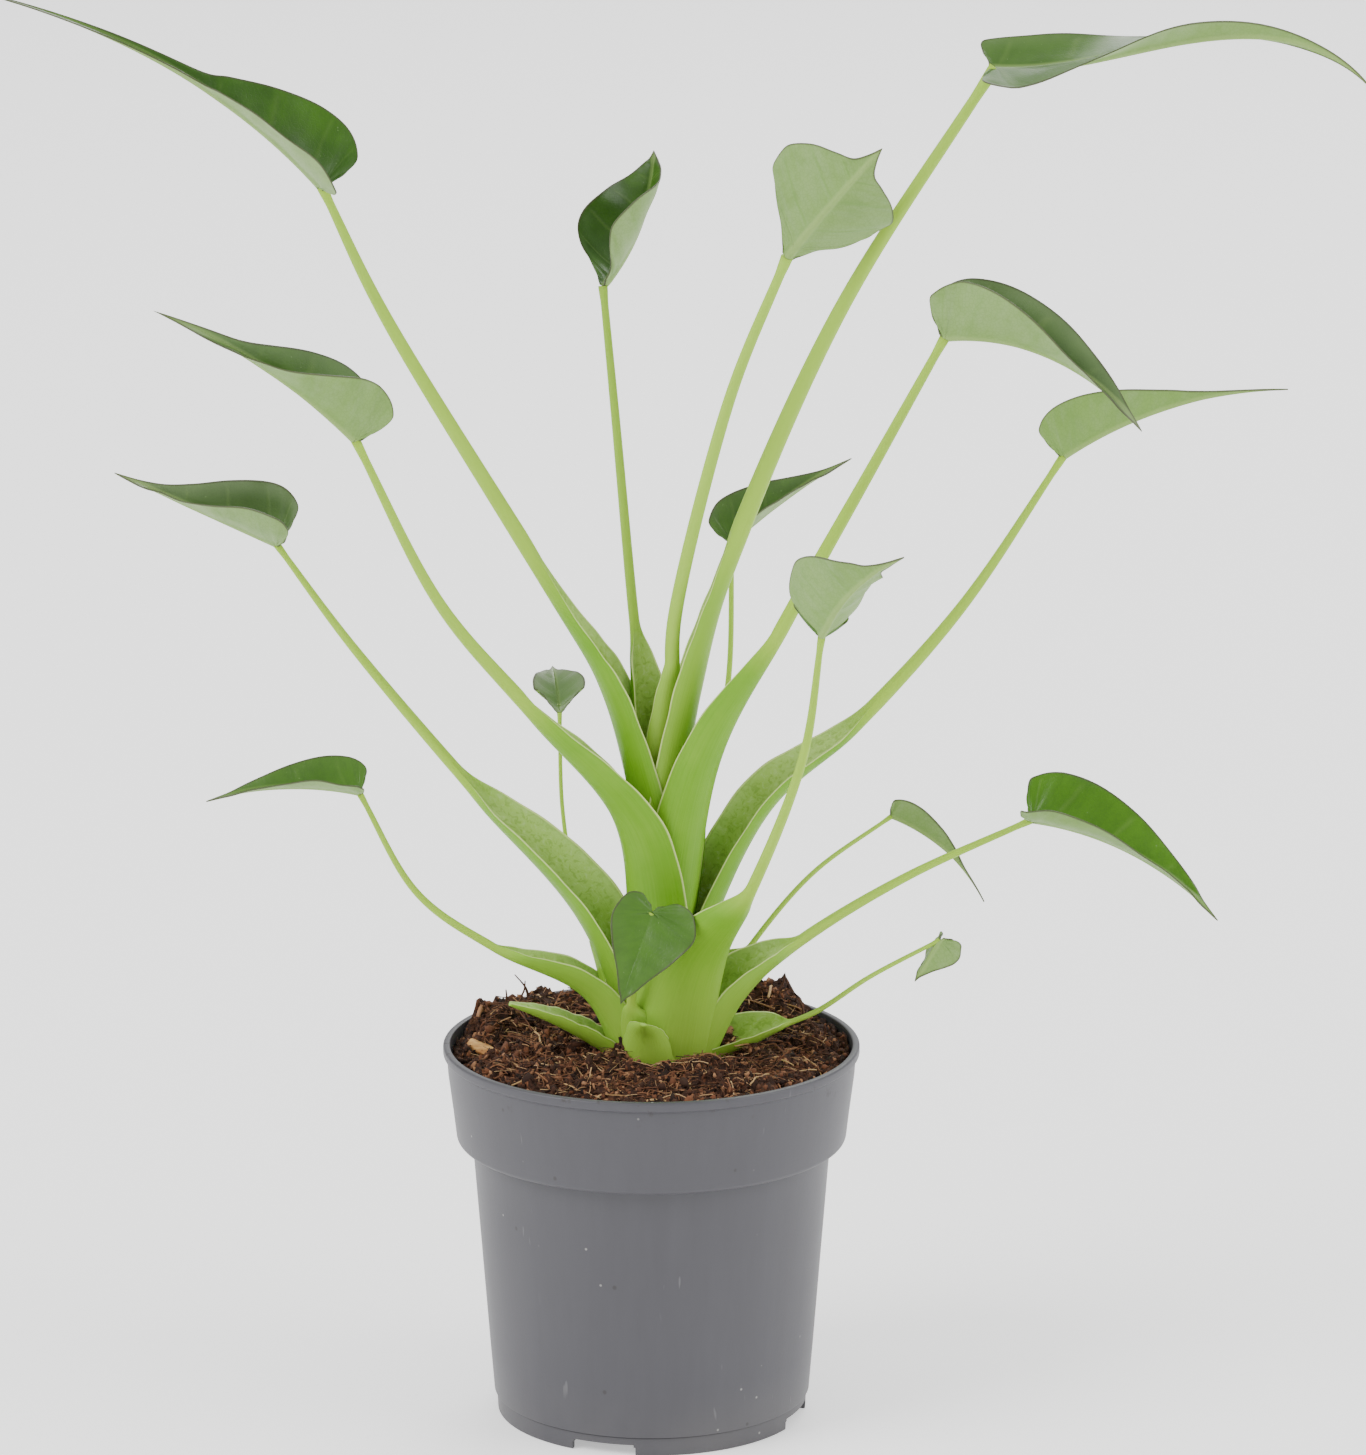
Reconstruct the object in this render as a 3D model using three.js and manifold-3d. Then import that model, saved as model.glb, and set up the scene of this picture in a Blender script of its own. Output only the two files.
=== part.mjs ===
// A potted alocasia: cupped, drip-tipped leaves on sheathed stalks around a short stem,
// standing in dark peat in a grey nursery pot.
// Millimetres, +Z up. The ground is z = 0 and the pot's axis is x = 0, y = 0 while the pieces are built.
import * as THREE from 'three';
import Module from 'manifold-3d';
import { mergeVertices } from 'three/addons/utils/BufferGeometryUtils.js';

const wasm = await Module();
wasm.setup();

// Clearance between neighbouring pieces, and the growth of a cutter that leaves it
const GAP = 0.3;
const CUTTER_GROWTH = 0.6;

// Details of a blade smaller than this are smoothed away
const SLIVER = 0.04;

// Pot: a 12 cm nursery pot
const POT = {
  height: 110,
  rimRadius: 60,
  lipHeight: 2.8,
  lipOverhang: 0.7,
  lipRounding: 0.6,
  bandBottom: 82,
  bandRadius: 56.3,
  bodyTopRadius: 51.7,
  bodyBottomRadius: 45.8,
  skirtHeight: 5.5,
  skirtRadius: 44.8,
  wall: 1.3,
  floorTop: 7,
  floorUnderside: 5.2,
  segments: 36,
};
const NOTCH = { count: 4, width: 19, height: 3.2, depth: 12, firstAngle: 252 };
const DRAIN = { count: 6, radius: 4, ring: 31, segments: 8 };

// Soil: a low mound, almost level with the rim
const SOIL = {
  edgeHeight: 106,
  moundHeight: 2.5,
  rings: 5,
  segments: 30,
  unevenness: 0.9,
  inset: 0.6,
};

// Stem: from its foot in the soil to where the youngest leaf leaves it; rings are [height, radius]
const STEM = {
  axis: [3, 1],
  lean: [1.5, 0],
  rings: [[60, 5], [72, 8.5], [104, 10.5], [130, 9], [165, 6], [192, 3]],
  segments: 12,
};

// Leaves.
// azimuth: the way the stalk leaves the stem, in degrees from +X towards +Y.
// path: the stalk's centreline as [distance from the stem axis, height].
// bow: how far the stalk's end swings sideways.
// petiole: the round stalk's radius at the sheath's end and at the blade.
// sheath: the share of the stalk that is an open sheath; taper is how suddenly it narrows at its end,
// and turn is how many degrees its opening faces away from the stem, counterclockwise from above.
// hug: the sheath's radius around the stem and its half angle at the foot.
// blade: body and drip are lengths along the midrib, width is half the breadth, belly moves the widest place
// towards the tip and uneven narrows or widens one half. heading (turned by sweep) and pitch point the midrib
// (pitch changes along it by a linear and a square term), roll turns the blade about it (start, change), fold
// and curl raise each half at the stalk and at the tip. lobe sizes the rear lobes, lift raises them, and a
// negative lobe slopes the blade's base forward instead. slant leans the lines across each half towards the
// tip. along and across are the strips of each half.
const BLADE = { sweep: 0, uneven: 1, lobe: 0.5, lift: 60, belly: 0, slant: 0.45, along: 10, across: 3 };
const LEAVES = [
  {
    azimuth: 186, path: [[5, 168], [15, 212], [31, 244], [75, 319], [95, 361]],
    petiole: [2.3, 1.15], sheath: 0.56, turn: -9, hug: [9, 95],
    blade: {
      ...BLADE, body: 48, drip: 64, width: 17, heading: 186, pitch: [49, -42, 8], roll: [-27, 0],
      fold: [30, 55], curl: [25, 30], lobe: 0.4,
    },
  },
  {
    azimuth: 212, path: [[8, 128], [13, 175], [41, 211], [73, 249], [99, 298]],
    petiole: [2.05, 1.05], sheath: 0.56, turn: -12, hug: [12.5, 90],
    blade: {
      ...BLADE, body: 44, drip: 26, width: 16, heading: 200, pitch: [46, -22, 0], roll: [6, -100],
      fold: [45, 40], curl: [40, 20], lobe: 0.4,
    },
  },
  {
    azimuth: 163, path: [[9, 112], [25, 149], [57, 181], [92, 219], [116, 249]],
    petiole: [1.7, 0.85], sheath: 0.55, turn: -14, hug: [10, 95], taper: 3.4,
    blade: {
      ...BLADE, body: 36, drip: 15, width: 16, heading: 178, pitch: [24, 0, 0], roll: [-20, -20],
      fold: [40, 50], curl: [40, 20], lobe: 0.35,
    },
  },
  {
    azimuth: 190, path: [[11, 100], [22, 125], [48, 140], [71, 158], [87, 188]],
    petiole: [1.25, 0.75], sheath: 0.53, turn: 3, hug: [10, 90],
    blade: {
      ...BLADE, body: 34, drip: 10, width: 10, heading: 182, pitch: [12, -30, 0], roll: [-16, 0],
      fold: [25, 35], curl: [30, 20], lobe: 0.3, across: 2,
    },
  },
  {
    azimuth: 128, path: [[4, 172], [8, 205], [14, 240], [21, 288], [27, 327]],
    petiole: [1.5, 1.05], sheath: 0.46, hug: [8, 90],
    blade: {
      ...BLADE, body: 41, drip: 5, width: 17, heading: 34, pitch: [42, 14, 0], roll: [-10, 0],
      fold: [25, 40], curl: [70, 30], sweep: 55, lobe: -0.8, slant: 0.2, belly: 0.2,
    },
  },
  {
    azimuth: 330, path: [[3, 178], [3.5, 215], [5.5, 242], [21.8, 300], [40.4, 343]],
    petiole: [2.15, 1.35], sheath: 0.34, hug: [7, 90],
    blade: {
      ...BLADE, body: 34, drip: 8, width: 22, heading: 343, pitch: [52, -5, 0], roll: [-74, 0],
      fold: [25, 0], curl: [35, 10], lobe: -1, belly: 0.35,
    },
  },
  {
    azimuth: 356, path: [[4, 172], [10, 215], [20.5, 256], [50.7, 325.5], [93, 394]],
    petiole: [2.75, 1.4], sheath: 0.53, turn: 2, hug: [9, 95],
    blade: {
      ...BLADE, body: 85, drip: 27, width: 12, heading: 2, pitch: [-4, 95, -145], roll: [32, -118],
      fold: [5, 32], curl: [15, 10], lobe: 0.9, lift: 10, belly: 0.05,
    },
  },
  {
    azimuth: 55, path: [[8, 140], [18, 170], [27, 190], [34, 214], [35, 251]],
    petiole: [0.95, 0.75], sheath: 0.32, hug: [8, 80],
    blade: {
      ...BLADE, body: 31, drip: 12, width: 11, heading: 20, pitch: [38, -15, 0], roll: [22, 0],
      fold: [35, 50], curl: [30, 20], across: 2,
    },
  },
  {
    azimuth: 328, path: [[7, 140], [17, 195], [41, 239], [68, 285], [92, 326]],
    petiole: [2.1, 1.15], sheath: 0.49, hug: [10, 100],
    blade: {
      ...BLADE, body: 50, drip: 13, width: 16, heading: 345, pitch: [7, -60, 0], roll: [-5, 50],
      fold: [58, 30], curl: [30, 20],
    },
  },
  {
    azimuth: 22, path: [[9, 133], [31, 176], [61, 199], [94, 231], [125, 272]],
    petiole: [2.1, 0.95], sheath: 0.55, turn: 10, hug: [8, 100],
    blade: {
      ...BLADE, body: 44, drip: 25, width: 14, heading: 355, pitch: [35, -34, 0], roll: [-28, 0],
      fold: [35, 40], curl: [40, 20], lobe: 0.3,
    },
  },
  {
    azimuth: 300, path: [[12, 100], [25, 138], [51, 168], [78, 211], [88, 248]],
    petiole: [1.7, 0.85], sheath: 0.51, hug: [13, 110],
    blade: {
      ...BLADE, body: 30, drip: 11, width: 16, heading: 304, pitch: [58, -32, 0], roll: [-27, 0],
      fold: [35, 15], curl: [35, 20], sweep: 24, lobe: -0.3, slant: 0.2, uneven: 1.1, belly: 0.2,
    },
  },
  {
    azimuth: 120, path: [[10, 112], [30, 134], [51, 148], [58.5, 166], [60, 194.5]],
    petiole: [0.7, 0.6], sheath: 0.25, hug: [9, 80],
    blade: {
      ...BLADE, body: 18, drip: 4, width: 10, heading: 97, pitch: [40, -30, 0], roll: [0, 0],
      fold: [30, 30], curl: [25, 10], lobe: -0.7, slant: 0.2, belly: 0.15, across: 2,
    },
  },
  {
    azimuth: 4, path: [[12, 100], [23, 124], [41, 140], [71, 158], [106.5, 174]],
    petiole: [1.65, 0.85], sheath: 0.51, turn: 8, hug: [12, 90],
    blade: {
      ...BLADE, body: 50, drip: 12, width: 15, heading: 350, pitch: [-6, -42, 0], roll: [20, 0],
      fold: [28, 40], curl: [40, 20], lobe: 0.6,
    },
  },
  {
    azimuth: 35, path: [[13, 102], [23, 122], [33, 135], [54, 152], [82, 164.5]],
    petiole: [0.85, 0.6], sheath: 0.48, turn: 12, hug: [11, 80],
    blade: {
      ...BLADE, body: 26, drip: 12, width: 7, heading: 350, pitch: [-20, -44, 0], roll: [-20, 0],
      fold: [40, 50], curl: [30, 20], across: 2,
    },
  },
  {
    azimuth: 8, path: [[14, 103], [29, 111], [45, 117], [61, 127], [81, 137]],
    petiole: [0.85, 0.6], sheath: 0.4, turn: 14, hug: [9, 80],
    blade: {
      ...BLADE, body: 11, drip: 3, width: 8, heading: 203, pitch: [-56, 0, 0], roll: [150, 0],
      fold: [40, 40], curl: [20, 10], lobe: 1, across: 2,
    },
  },
  {
    azimuth: 235, path: [[12, 100], [16, 118], [20, 132], [24, 145], [26, 157]], bow: 15,
    petiole: [1.4, 0.9], sheath: 0.4, hug: [8, 90],
    blade: {
      ...BLADE, body: 24, drip: 4, width: 14, heading: 233, pitch: [-58, 0, 0], roll: [-35, 0],
      fold: [8, 10], curl: [10, 10], lobe: 0.9, lift: 10, uneven: 0.75, across: 2,
    },
  },
];

// Short sheaths without a blade at the foot of the plant
const BRACTS = {
  bract_front: {
    azimuth: 251, path: [[15, 100], [17.5, 109], [20, 117], [24, 122.5]], bow: 3,
    petiole: [1.2, 1], sheath: 1, hug: [10, 75], taper: 1.8,
  },
  bract_left: {
    azimuth: 190, path: [[12, 98], [17, 108], [30, 117], [44, 124]],
    petiole: [1.2, 1], sheath: 1, hug: [7, 85],
  },
  bract_back: {
    azimuth: 150, path: [[12, 100], [17, 120], [20, 130], [23, 137]],
    petiole: [1.2, 1], sheath: 1, hug: [8, 80],
  },
};
// The youngest sheaths are innermost, so the older ones are cut to fit around them in this order
const INNER_TO_OUTER = [7, 6, 5, 1, 9, 10, 8, 2, 12, 3, 14, 13, 11, 4, 15, 16];

const SHEATH_WALL = 2.2;
const MARGIN_THICKNESS = 0.7;
const SHEATH_OPENING = 80;
const SHEATH_TAPER = 2.6;
const CLOSING_START = 0.8;
const CLOSED_WRAP = 60;
const TURN_END = 0.6;
const SHEATH_RINGS = [0, 0.2, 0.4, 0.6, 0.78, 0.9, 0.96, 1];
const PETIOLE_STEPS = 5;
const STALK_SIDES = 5;
const THIN_STALK_SIDES = 4;
const THIN_STALK = 1.3;
const BLADE_THICKNESS = 0.7;
const LOBED_BASE = [0.2, 0.33, 0.22];
const SLOPED_BASE = [0.12, 0.33, 0.55];
const FLAT_REACH = 3;
const MIDRIB_STEPS = 16;

// Materials
function plain(color, roughness) {
  return new THREE.MeshStandardMaterial({ color, roughness, metalness: 0 });
}
const plasticGrey = plain(0x75787b, 0.55);
const peatBrown = plain(0x2e1d14, 0.95);
const stemGreen = plain(0xa7c169, 0.5);
const stalkGreen = plain(0x9dc152, 0.45);
const leafGreen = plain(0x3f6f2c, 0.4);

// Small helpers
const radians = THREE.MathUtils.degToRad;
const lerp = THREE.MathUtils.lerp;
const smoothstep = THREE.MathUtils.smoothstep;

function meshGeometry(positions, triangles) {
  const geometry = new THREE.BufferGeometry();
  const numbers = positions.flatMap((point) => point.toArray());
  geometry.setAttribute('position', new THREE.Float32BufferAttribute(numbers, 3));
  geometry.setIndex(triangles.flat());
  return geometry;
}

// Vertices that lie in one place become one, and the triangles that this flattens go
function welded(geometry) {
  const bare = geometry.clone();
  for (const name of Object.keys(bare.attributes)) {
    if (name !== 'position') bare.deleteAttribute(name);
  }
  const merged = mergeVertices(bare, 1e-4);
  const index = Array.from(merged.index.array);
  const kept = [];
  for (let i = 0; i < index.length; i += 3) {
    const [a, b, c] = index.slice(i, i + 3);
    if (a !== b && b !== c && a !== c) kept.push(a, b, c);
  }
  merged.setIndex(kept);
  return merged;
}

function manifoldOf(geometry) {
  return new wasm.Manifold(new wasm.Mesh({
    numProp: 3,
    vertProperties: new Float32Array(geometry.attributes.position.array),
    triVerts: new Uint32Array(geometry.index.array),
  }));
}

function solid(geometry) {
  return manifoldOf(welded(geometry));
}

// The largest body of a solid, so that a cut leaves no loose sliver
function largestBody(manifold) {
  const bodies = manifold.decompose();
  return bodies.reduce((best, body) => (body.volume() > best.volume() ? body : best));
}

function geometryOf(manifold) {
  const mesh = manifold.getMesh();
  const geometry = new THREE.BufferGeometry();
  geometry.setAttribute('position', new THREE.BufferAttribute(new Float32Array(mesh.vertProperties), 3));
  geometry.setIndex(new THREE.BufferAttribute(new Uint32Array(mesh.triVerts), 1));
  return geometry;
}

function moved(geometry, distance) {
  const result = welded(geometry);
  result.computeVertexNormals();
  const { position, normal } = result.attributes;
  for (let i = 0; i < position.count; i += 1) {
    position.setXYZ(
      i,
      position.getX(i) + normal.getX(i) * distance,
      position.getY(i) + normal.getY(i) * distance,
      position.getZ(i) + normal.getZ(i) * distance,
    );
  }
  return result;
}

// What a neighbour is cut with: the piece itself and the clearance around it
function cutter(geometry) {
  return solid(geometry).add(solid(moved(geometry, CUTTER_GROWTH)));
}

// A surface given a thickness, half to each side, both faces triangulated alike
function thickened(surface, thickness) {
  const upper = moved(surface, thickness / 2);
  const lower = moved(surface, -thickness / 2);
  const count = upper.attributes.position.count;
  const faces = Array.from(upper.index.array);
  const triangles = [];
  const borders = new Map();
  for (let i = 0; i < faces.length; i += 3) {
    const [a, b, c] = faces.slice(i, i + 3);
    triangles.push([a, b, c], [a + count, c + count, b + count]);
    for (const [from, to] of [[a, b], [b, c], [c, a]]) {
      if (!borders.delete(`${to} ${from}`)) borders.set(`${from} ${to}`, [from, to]);
    }
  }
  for (const [from, to] of borders.values()) {
    triangles.push([from, from + count, to + count], [from, to + count, to]);
  }
  const geometry = new THREE.BufferGeometry();
  const positions = [...upper.attributes.position.array, ...lower.attributes.position.array];
  geometry.setAttribute('position', new THREE.Float32BufferAttribute(positions, 3));
  geometry.setIndex(triangles.flat());
  return geometry;
}

function curveThrough(points) {
  return new THREE.CatmullRomCurve3(points, false, 'catmullrom', 0.5);
}

// Stalks: an open sheath that closes into a round petiole
function stalkCurve(leaf) {
  const azimuth = radians(leaf.azimuth);
  const side = new THREE.Vector3(-Math.sin(azimuth), Math.cos(azimuth), 0);
  const last = leaf.path.length - 1;
  const points = leaf.path.map(([reach, height], i) => new THREE.Vector3(
    STEM.axis[0] + Math.cos(azimuth) * reach,
    STEM.axis[1] + Math.sin(azimuth) * reach,
    height,
  ).addScaledVector(side, (leaf.bow ?? 0) * (i / last) ** 2));
  return { curve: curveThrough(points), side };
}

// The section is a list of [across, towards the stem] points: the outer face, then the inner face back.
// face is 1 on the outer face and -1 on the inner one.
function stalkSection(leaf, s, sides) {
  const [startRadius, endRadius] = leaf.petiole;
  const [hugRadius, hugAngle] = leaf.hug;
  const u = Math.min(s / leaf.sheath, 1);
  const beyond = Math.max(0, (s - leaf.sheath) / Math.max(1 - leaf.sheath, 1e-6));
  const round = lerp(startRadius, endRadius, Math.min(beyond, 1));
  const closing = leaf.sheath === 1 ? 0 : smoothstep(u, CLOSING_START, 1);
  const radius = lerp(hugRadius, round, u ** (leaf.taper ?? SHEATH_TAPER));
  const half = radians(lerp(hugAngle, SHEATH_OPENING, u) + CLOSED_WRAP * closing);
  const middle = lerp(SHEATH_WALL, round * 2, u ** 1.5);
  const back = lerp(middle / 2, round, closing);
  const point = (fraction, depth, face) => {
    const angle = fraction * half;
    const around = face > 0 ? angle : Math.PI - fraction * (Math.PI - half);
    const inner = Math.max(radius - depth, 0.02 * radius);
    const onSheath = [inner * Math.sin(angle), radius - inner * Math.cos(angle)];
    const onPetiole = [round * Math.sin(around), round - round * Math.cos(around)];
    return [
      lerp(onSheath[0], onPetiole[0], closing),
      lerp(onSheath[1], onPetiole[1], closing) - back,
    ];
  };
  const points = [];
  for (let k = 0; k <= sides; k += 1) {
    points.push(point(-Math.cos(Math.PI * k / sides), 0, 1));
  }
  for (let k = sides - 1; k > 0; k -= 1) {
    const fraction = -Math.cos(Math.PI * k / sides);
    const wall = MARGIN_THICKNESS + (middle - MARGIN_THICKNESS) * Math.cos(fraction * Math.PI / 2);
    points.push(point(fraction, wall, -1));
  }
  return points;
}

function stalkGeometry(leaf) {
  const { curve, side } = stalkCurve(leaf);
  const sides = leaf.petiole[0] < THIN_STALK ? THIN_STALK_SIDES : STALK_SIDES;
  const ring = 2 * sides;
  const positions = [];
  const triangles = [];
  const shares = SHEATH_RINGS.map((share) => share * leaf.sheath);
  for (let i = 1; leaf.sheath < 1 && i <= PETIOLE_STEPS; i += 1) {
    shares.push(lerp(leaf.sheath, 1, i / PETIOLE_STEPS));
  }
  shares.forEach((s, i) => {
    const center = curve.getPoint(s);
    const tangent = curve.getTangent(s);
    const turn = radians(leaf.turn ?? 0) * smoothstep(s / leaf.sheath, 0, TURN_END);
    const inward = tangent.clone().cross(side).normalize().applyAxisAngle(tangent, turn);
    const across = inward.clone().cross(tangent);
    for (const [b, n] of stalkSection(leaf, s, sides)) {
      positions.push(center.clone().addScaledVector(across, b).addScaledVector(inward, n));
    }
    if (i === 0) return;
    for (let k = 0; k < ring; k += 1) {
      const a = (i - 1) * ring + k;
      const b = (i - 1) * ring + (k + 1) % ring;
      triangles.push([a, b, b + ring], [a, b + ring, a + ring]);
    }
  });
  // End caps are ladders between the outer and the inner face
  const end = (shares.length - 1) * ring;
  for (let k = 0; k < sides; k += 1) {
    const a = k;
    const b = k + 1;
    const c = (ring - k - 1) % ring;
    const d = (ring - k) % ring;
    triangles.push([a, c, b], [a, d, c]);
    triangles.push([end + a, end + b, end + c], [end + a, end + c, end + d]);
  }
  return meshGeometry(positions, triangles);
}

// Blades: a heart outline on a bent midrib, each half folded up and curled in
function bladeOutline(blade) {
  const { body, drip, width, belly } = blade;
  const lobe = blade.lobe * width;
  const [low, middle, high] = lobe < 0 ? SLOPED_BASE : LOBED_BASE;
  return curveThrough([
    [-0.15 * Math.max(lobe, 0), 0.08 * width],
    [-low * lobe, 0.2 * width],
    [-middle * lobe, 0.45 * width],
    [-high * lobe, 0.8 * width],
    [(0.1 + belly) * body, width],
    [(0.3 + belly) * body, 0.97 * width],
    [(0.55 + 0.8 * belly) * body, 0.72 * width],
    [(0.8 + 0.4 * belly) * body, 0.4 * width],
    [body, 0.19 * width],
    [body + 0.45 * drip, 0.08 * width],
    [body + drip, 0],
  ].map(([x, y]) => new THREE.Vector3(x, y, 0)));
}

function midribFrame(blade, junction, share) {
  const length = blade.body + blade.drip;
  const direction = (q) => {
    const pitch = radians(blade.pitch[0] + blade.pitch[1] * q + blade.pitch[2] * q * q);
    const heading = radians(blade.heading + blade.sweep * q);
    return {
      tangent: new THREE.Vector3(
        Math.cos(heading) * Math.cos(pitch),
        Math.sin(heading) * Math.cos(pitch),
        Math.sin(pitch),
      ),
      side: new THREE.Vector3(-Math.sin(heading), Math.cos(heading), 0),
    };
  };
  const point = junction.clone();
  const step = share / MIDRIB_STEPS;
  for (let i = 0; i < MIDRIB_STEPS; i += 1) {
    point.addScaledVector(direction((i + 0.5) * step).tangent, length * step);
  }
  const { tangent, side } = direction(share);
  const roll = radians(blade.roll[0] + blade.roll[1] * share);
  const level = tangent.clone().cross(side);
  return {
    point,
    tangent,
    across: side.clone().multiplyScalar(Math.cos(roll)).addScaledVector(level, Math.sin(roll)),
    up: level.clone().multiplyScalar(Math.cos(roll)).addScaledVector(side, -Math.sin(roll)),
  };
}

// A point of the blade: t runs along the edge from the sinus to the tip, v from the midrib to the edge
function bladePoint(blade, outline, junction, t, v, sign) {
  const length = blade.body + blade.drip;
  const edge = outline.getPoint(t);
  const reach = edge.y * (sign < 0 ? blade.uneven : 1);
  const foot = THREE.MathUtils.clamp(edge.x - blade.slant * edge.y, 0, length);
  const share = foot / length;
  const frame = midribFrame(blade, junction, share);
  const fold = radians(lerp(blade.fold[0], blade.fold[1], share)) * smoothstep(reach, 0, FLAT_REACH);
  const bend = radians(lerp(blade.curl[0], blade.curl[1], share)) / blade.width;
  const across = (Math.sin(fold + bend * reach * v) - Math.sin(fold)) / bend;
  const rise = (Math.cos(fold) - Math.cos(fold + bend * reach * v)) / bend;
  const forward = (edge.x - foot) * v;
  const lobeBend = radians(blade.lift) / (0.33 * blade.width);
  const behind = Math.max(-forward, 0);
  const along = forward < 0 ? -Math.sin(lobeBend * behind) / lobeBend : forward;
  const lobeRise = (1 - Math.cos(lobeBend * behind)) / lobeBend;
  return frame.point
    .addScaledVector(frame.tangent, along)
    .addScaledVector(frame.across, sign * across)
    .addScaledVector(frame.up, rise + lobeRise);
}

function bladeSurface(leaf) {
  const { blade } = leaf;
  const { along, across } = blade;
  const junction = stalkCurve(leaf).curve.getPoint(1);
  const outline = bladeOutline(blade);
  const positions = [];
  const triangles = [];
  for (const sign of [1, -1]) {
    const first = positions.length;
    for (let i = 0; i <= along; i += 1) {
      for (let j = 0; j <= across; j += 1) {
        positions.push(bladePoint(blade, outline, junction, i / along, j / across, sign));
      }
    }
    for (let i = 0; i < along; i += 1) {
      for (let j = 0; j < across; j += 1) {
        const a = first + i * (across + 1) + j;
        const [b, c, d] = [a + 1, a + across + 2, a + across + 1];
        if (sign < 0) triangles.push([a, b, c], [a, c, d]);
        else triangles.push([a, c, b], [a, d, c]);
      }
    }
  }
  return meshGeometry(positions, triangles);
}

// Pot: its inner wall from the rim down to the floor, as [radius, height]
function potInside() {
  return [
    [POT.rimRadius - POT.lipOverhang - POT.wall - 0.3, POT.height - 1],
    [POT.bandRadius - POT.wall - 0.2, POT.bandBottom + 1.5],
    [POT.bodyTopRadius - POT.wall, POT.bandBottom - 2],
    [POT.bodyBottomRadius - POT.wall, POT.floorTop],
  ];
}

function potProfile() {
  const p = POT;
  const lipRadius = p.rimRadius - p.lipOverhang;
  const bandSlope = (lipRadius - p.bandRadius) / (p.height - p.bandBottom);
  const points = [
    [p.skirtRadius, 0],
    [p.skirtRadius + 0.2, p.skirtHeight],
    [p.bodyBottomRadius, p.skirtHeight],
    [p.bodyTopRadius, p.bandBottom - 1],
    [p.bandRadius - 0.8, p.bandBottom],
    [p.bandRadius, p.bandBottom + 1],
    [lipRadius - bandSlope * p.lipHeight, p.height - p.lipHeight],
    [p.rimRadius, p.height - p.lipHeight + 0.5],
    [p.rimRadius, p.height - p.lipRounding],
    [p.rimRadius - p.lipRounding, p.height],
    [lipRadius - p.wall + 0.3, p.height],
    ...potInside(),
    [0, p.floorTop],
    [0, p.floorUnderside],
    [p.skirtRadius - p.wall - 0.4, p.floorUnderside],
    [p.skirtRadius - p.wall - 0.5, 0],
    [p.skirtRadius, 0],
  ];
  return points.map(([r, z]) => new THREE.Vector2(r, z));
}

// LatheGeometry turns about Y, so its result is stood up along Z
function turned(profile, segments) {
  const lathe = new THREE.LatheGeometry(profile, segments);
  lathe.rotateX(Math.PI / 2);
  return lathe;
}

function buildPot() {
  let body = solid(turned(potProfile(), POT.segments));
  for (let i = 0; i < NOTCH.count; i += 1) {
    const angle = radians(NOTCH.firstAngle + i * 360 / NOTCH.count);
    const notch = new THREE.BoxGeometry(NOTCH.depth, NOTCH.width, 2 * NOTCH.height);
    notch.translate(POT.skirtRadius, 0, 0);
    notch.rotateZ(angle);
    body = body.subtract(solid(notch));
  }
  for (let i = 0; i < DRAIN.count; i += 1) {
    const angle = radians(i * 360 / DRAIN.count);
    const hole = new THREE.CylinderGeometry(DRAIN.radius, DRAIN.radius, 2 * POT.floorTop, DRAIN.segments);
    hole.rotateX(Math.PI / 2);
    hole.translate(DRAIN.ring * Math.cos(angle), DRAIN.ring * Math.sin(angle), POT.floorTop);
    body = body.subtract(solid(hole));
  }
  return body;
}

// Soil
function soilTopHeight(x, y) {
  const share = Math.min(Math.hypot(x, y) / POT.rimRadius, 1);
  const lumps = Math.sin(0.21 * x + 1.3) * Math.cos(0.17 * y + 0.4);
  const ripple = lumps + 0.6 * Math.sin(0.11 * x - 0.26 * y);
  return SOIL.edgeHeight + SOIL.moundHeight * (1 - share * share) + SOIL.unevenness * ripple;
}

function soilGeometry() {
  const [rim, bandFoot, bodyTop, floorEdge] = potInside();
  const share = (SOIL.edgeHeight - bandFoot[1]) / (rim[1] - bandFoot[1]);
  const topRadius = lerp(bandFoot[0], rim[0], share) - SOIL.inset;
  const ringRadii = [];
  for (let i = 1; i <= SOIL.rings; i += 1) {
    ringRadii.push(topRadius * i / SOIL.rings);
  }
  const walls = [
    [bandFoot[0] - SOIL.inset, bandFoot[1]],
    [bodyTop[0] - SOIL.inset, bodyTop[1]],
    [floorEdge[0] - SOIL.inset, POT.floorTop + GAP],
  ];
  const positions = [new THREE.Vector3(0, 0, soilTopHeight(0, 0))];
  const addRing = (radius, height) => {
    for (let k = 0; k < SOIL.segments; k += 1) {
      const angle = 2 * Math.PI * k / SOIL.segments;
      const x = radius * Math.cos(angle);
      const y = radius * Math.sin(angle);
      positions.push(new THREE.Vector3(x, y, height ?? soilTopHeight(x, y)));
    }
  };
  ringRadii.forEach((radius) => addRing(radius));
  walls.forEach(([radius, height]) => addRing(radius, height));
  const bottom = positions.push(new THREE.Vector3(0, 0, POT.floorTop + GAP)) - 1;
  const triangles = [];
  const rings = ringRadii.length + walls.length;
  for (let k = 0; k < SOIL.segments; k += 1) {
    const next = (k + 1) % SOIL.segments;
    triangles.push([0, 1 + k, 1 + next]);
    for (let i = 1; i < rings; i += 1) {
      const inner = 1 + (i - 1) * SOIL.segments;
      const outer = inner + SOIL.segments;
      triangles.push([inner + k, outer + k, outer + next]);
      triangles.push([inner + k, outer + next, inner + next]);
    }
    const last = 1 + (rings - 1) * SOIL.segments;
    triangles.push([last + k, bottom, last + next]);
  }
  return meshGeometry(positions, triangles);
}

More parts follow.
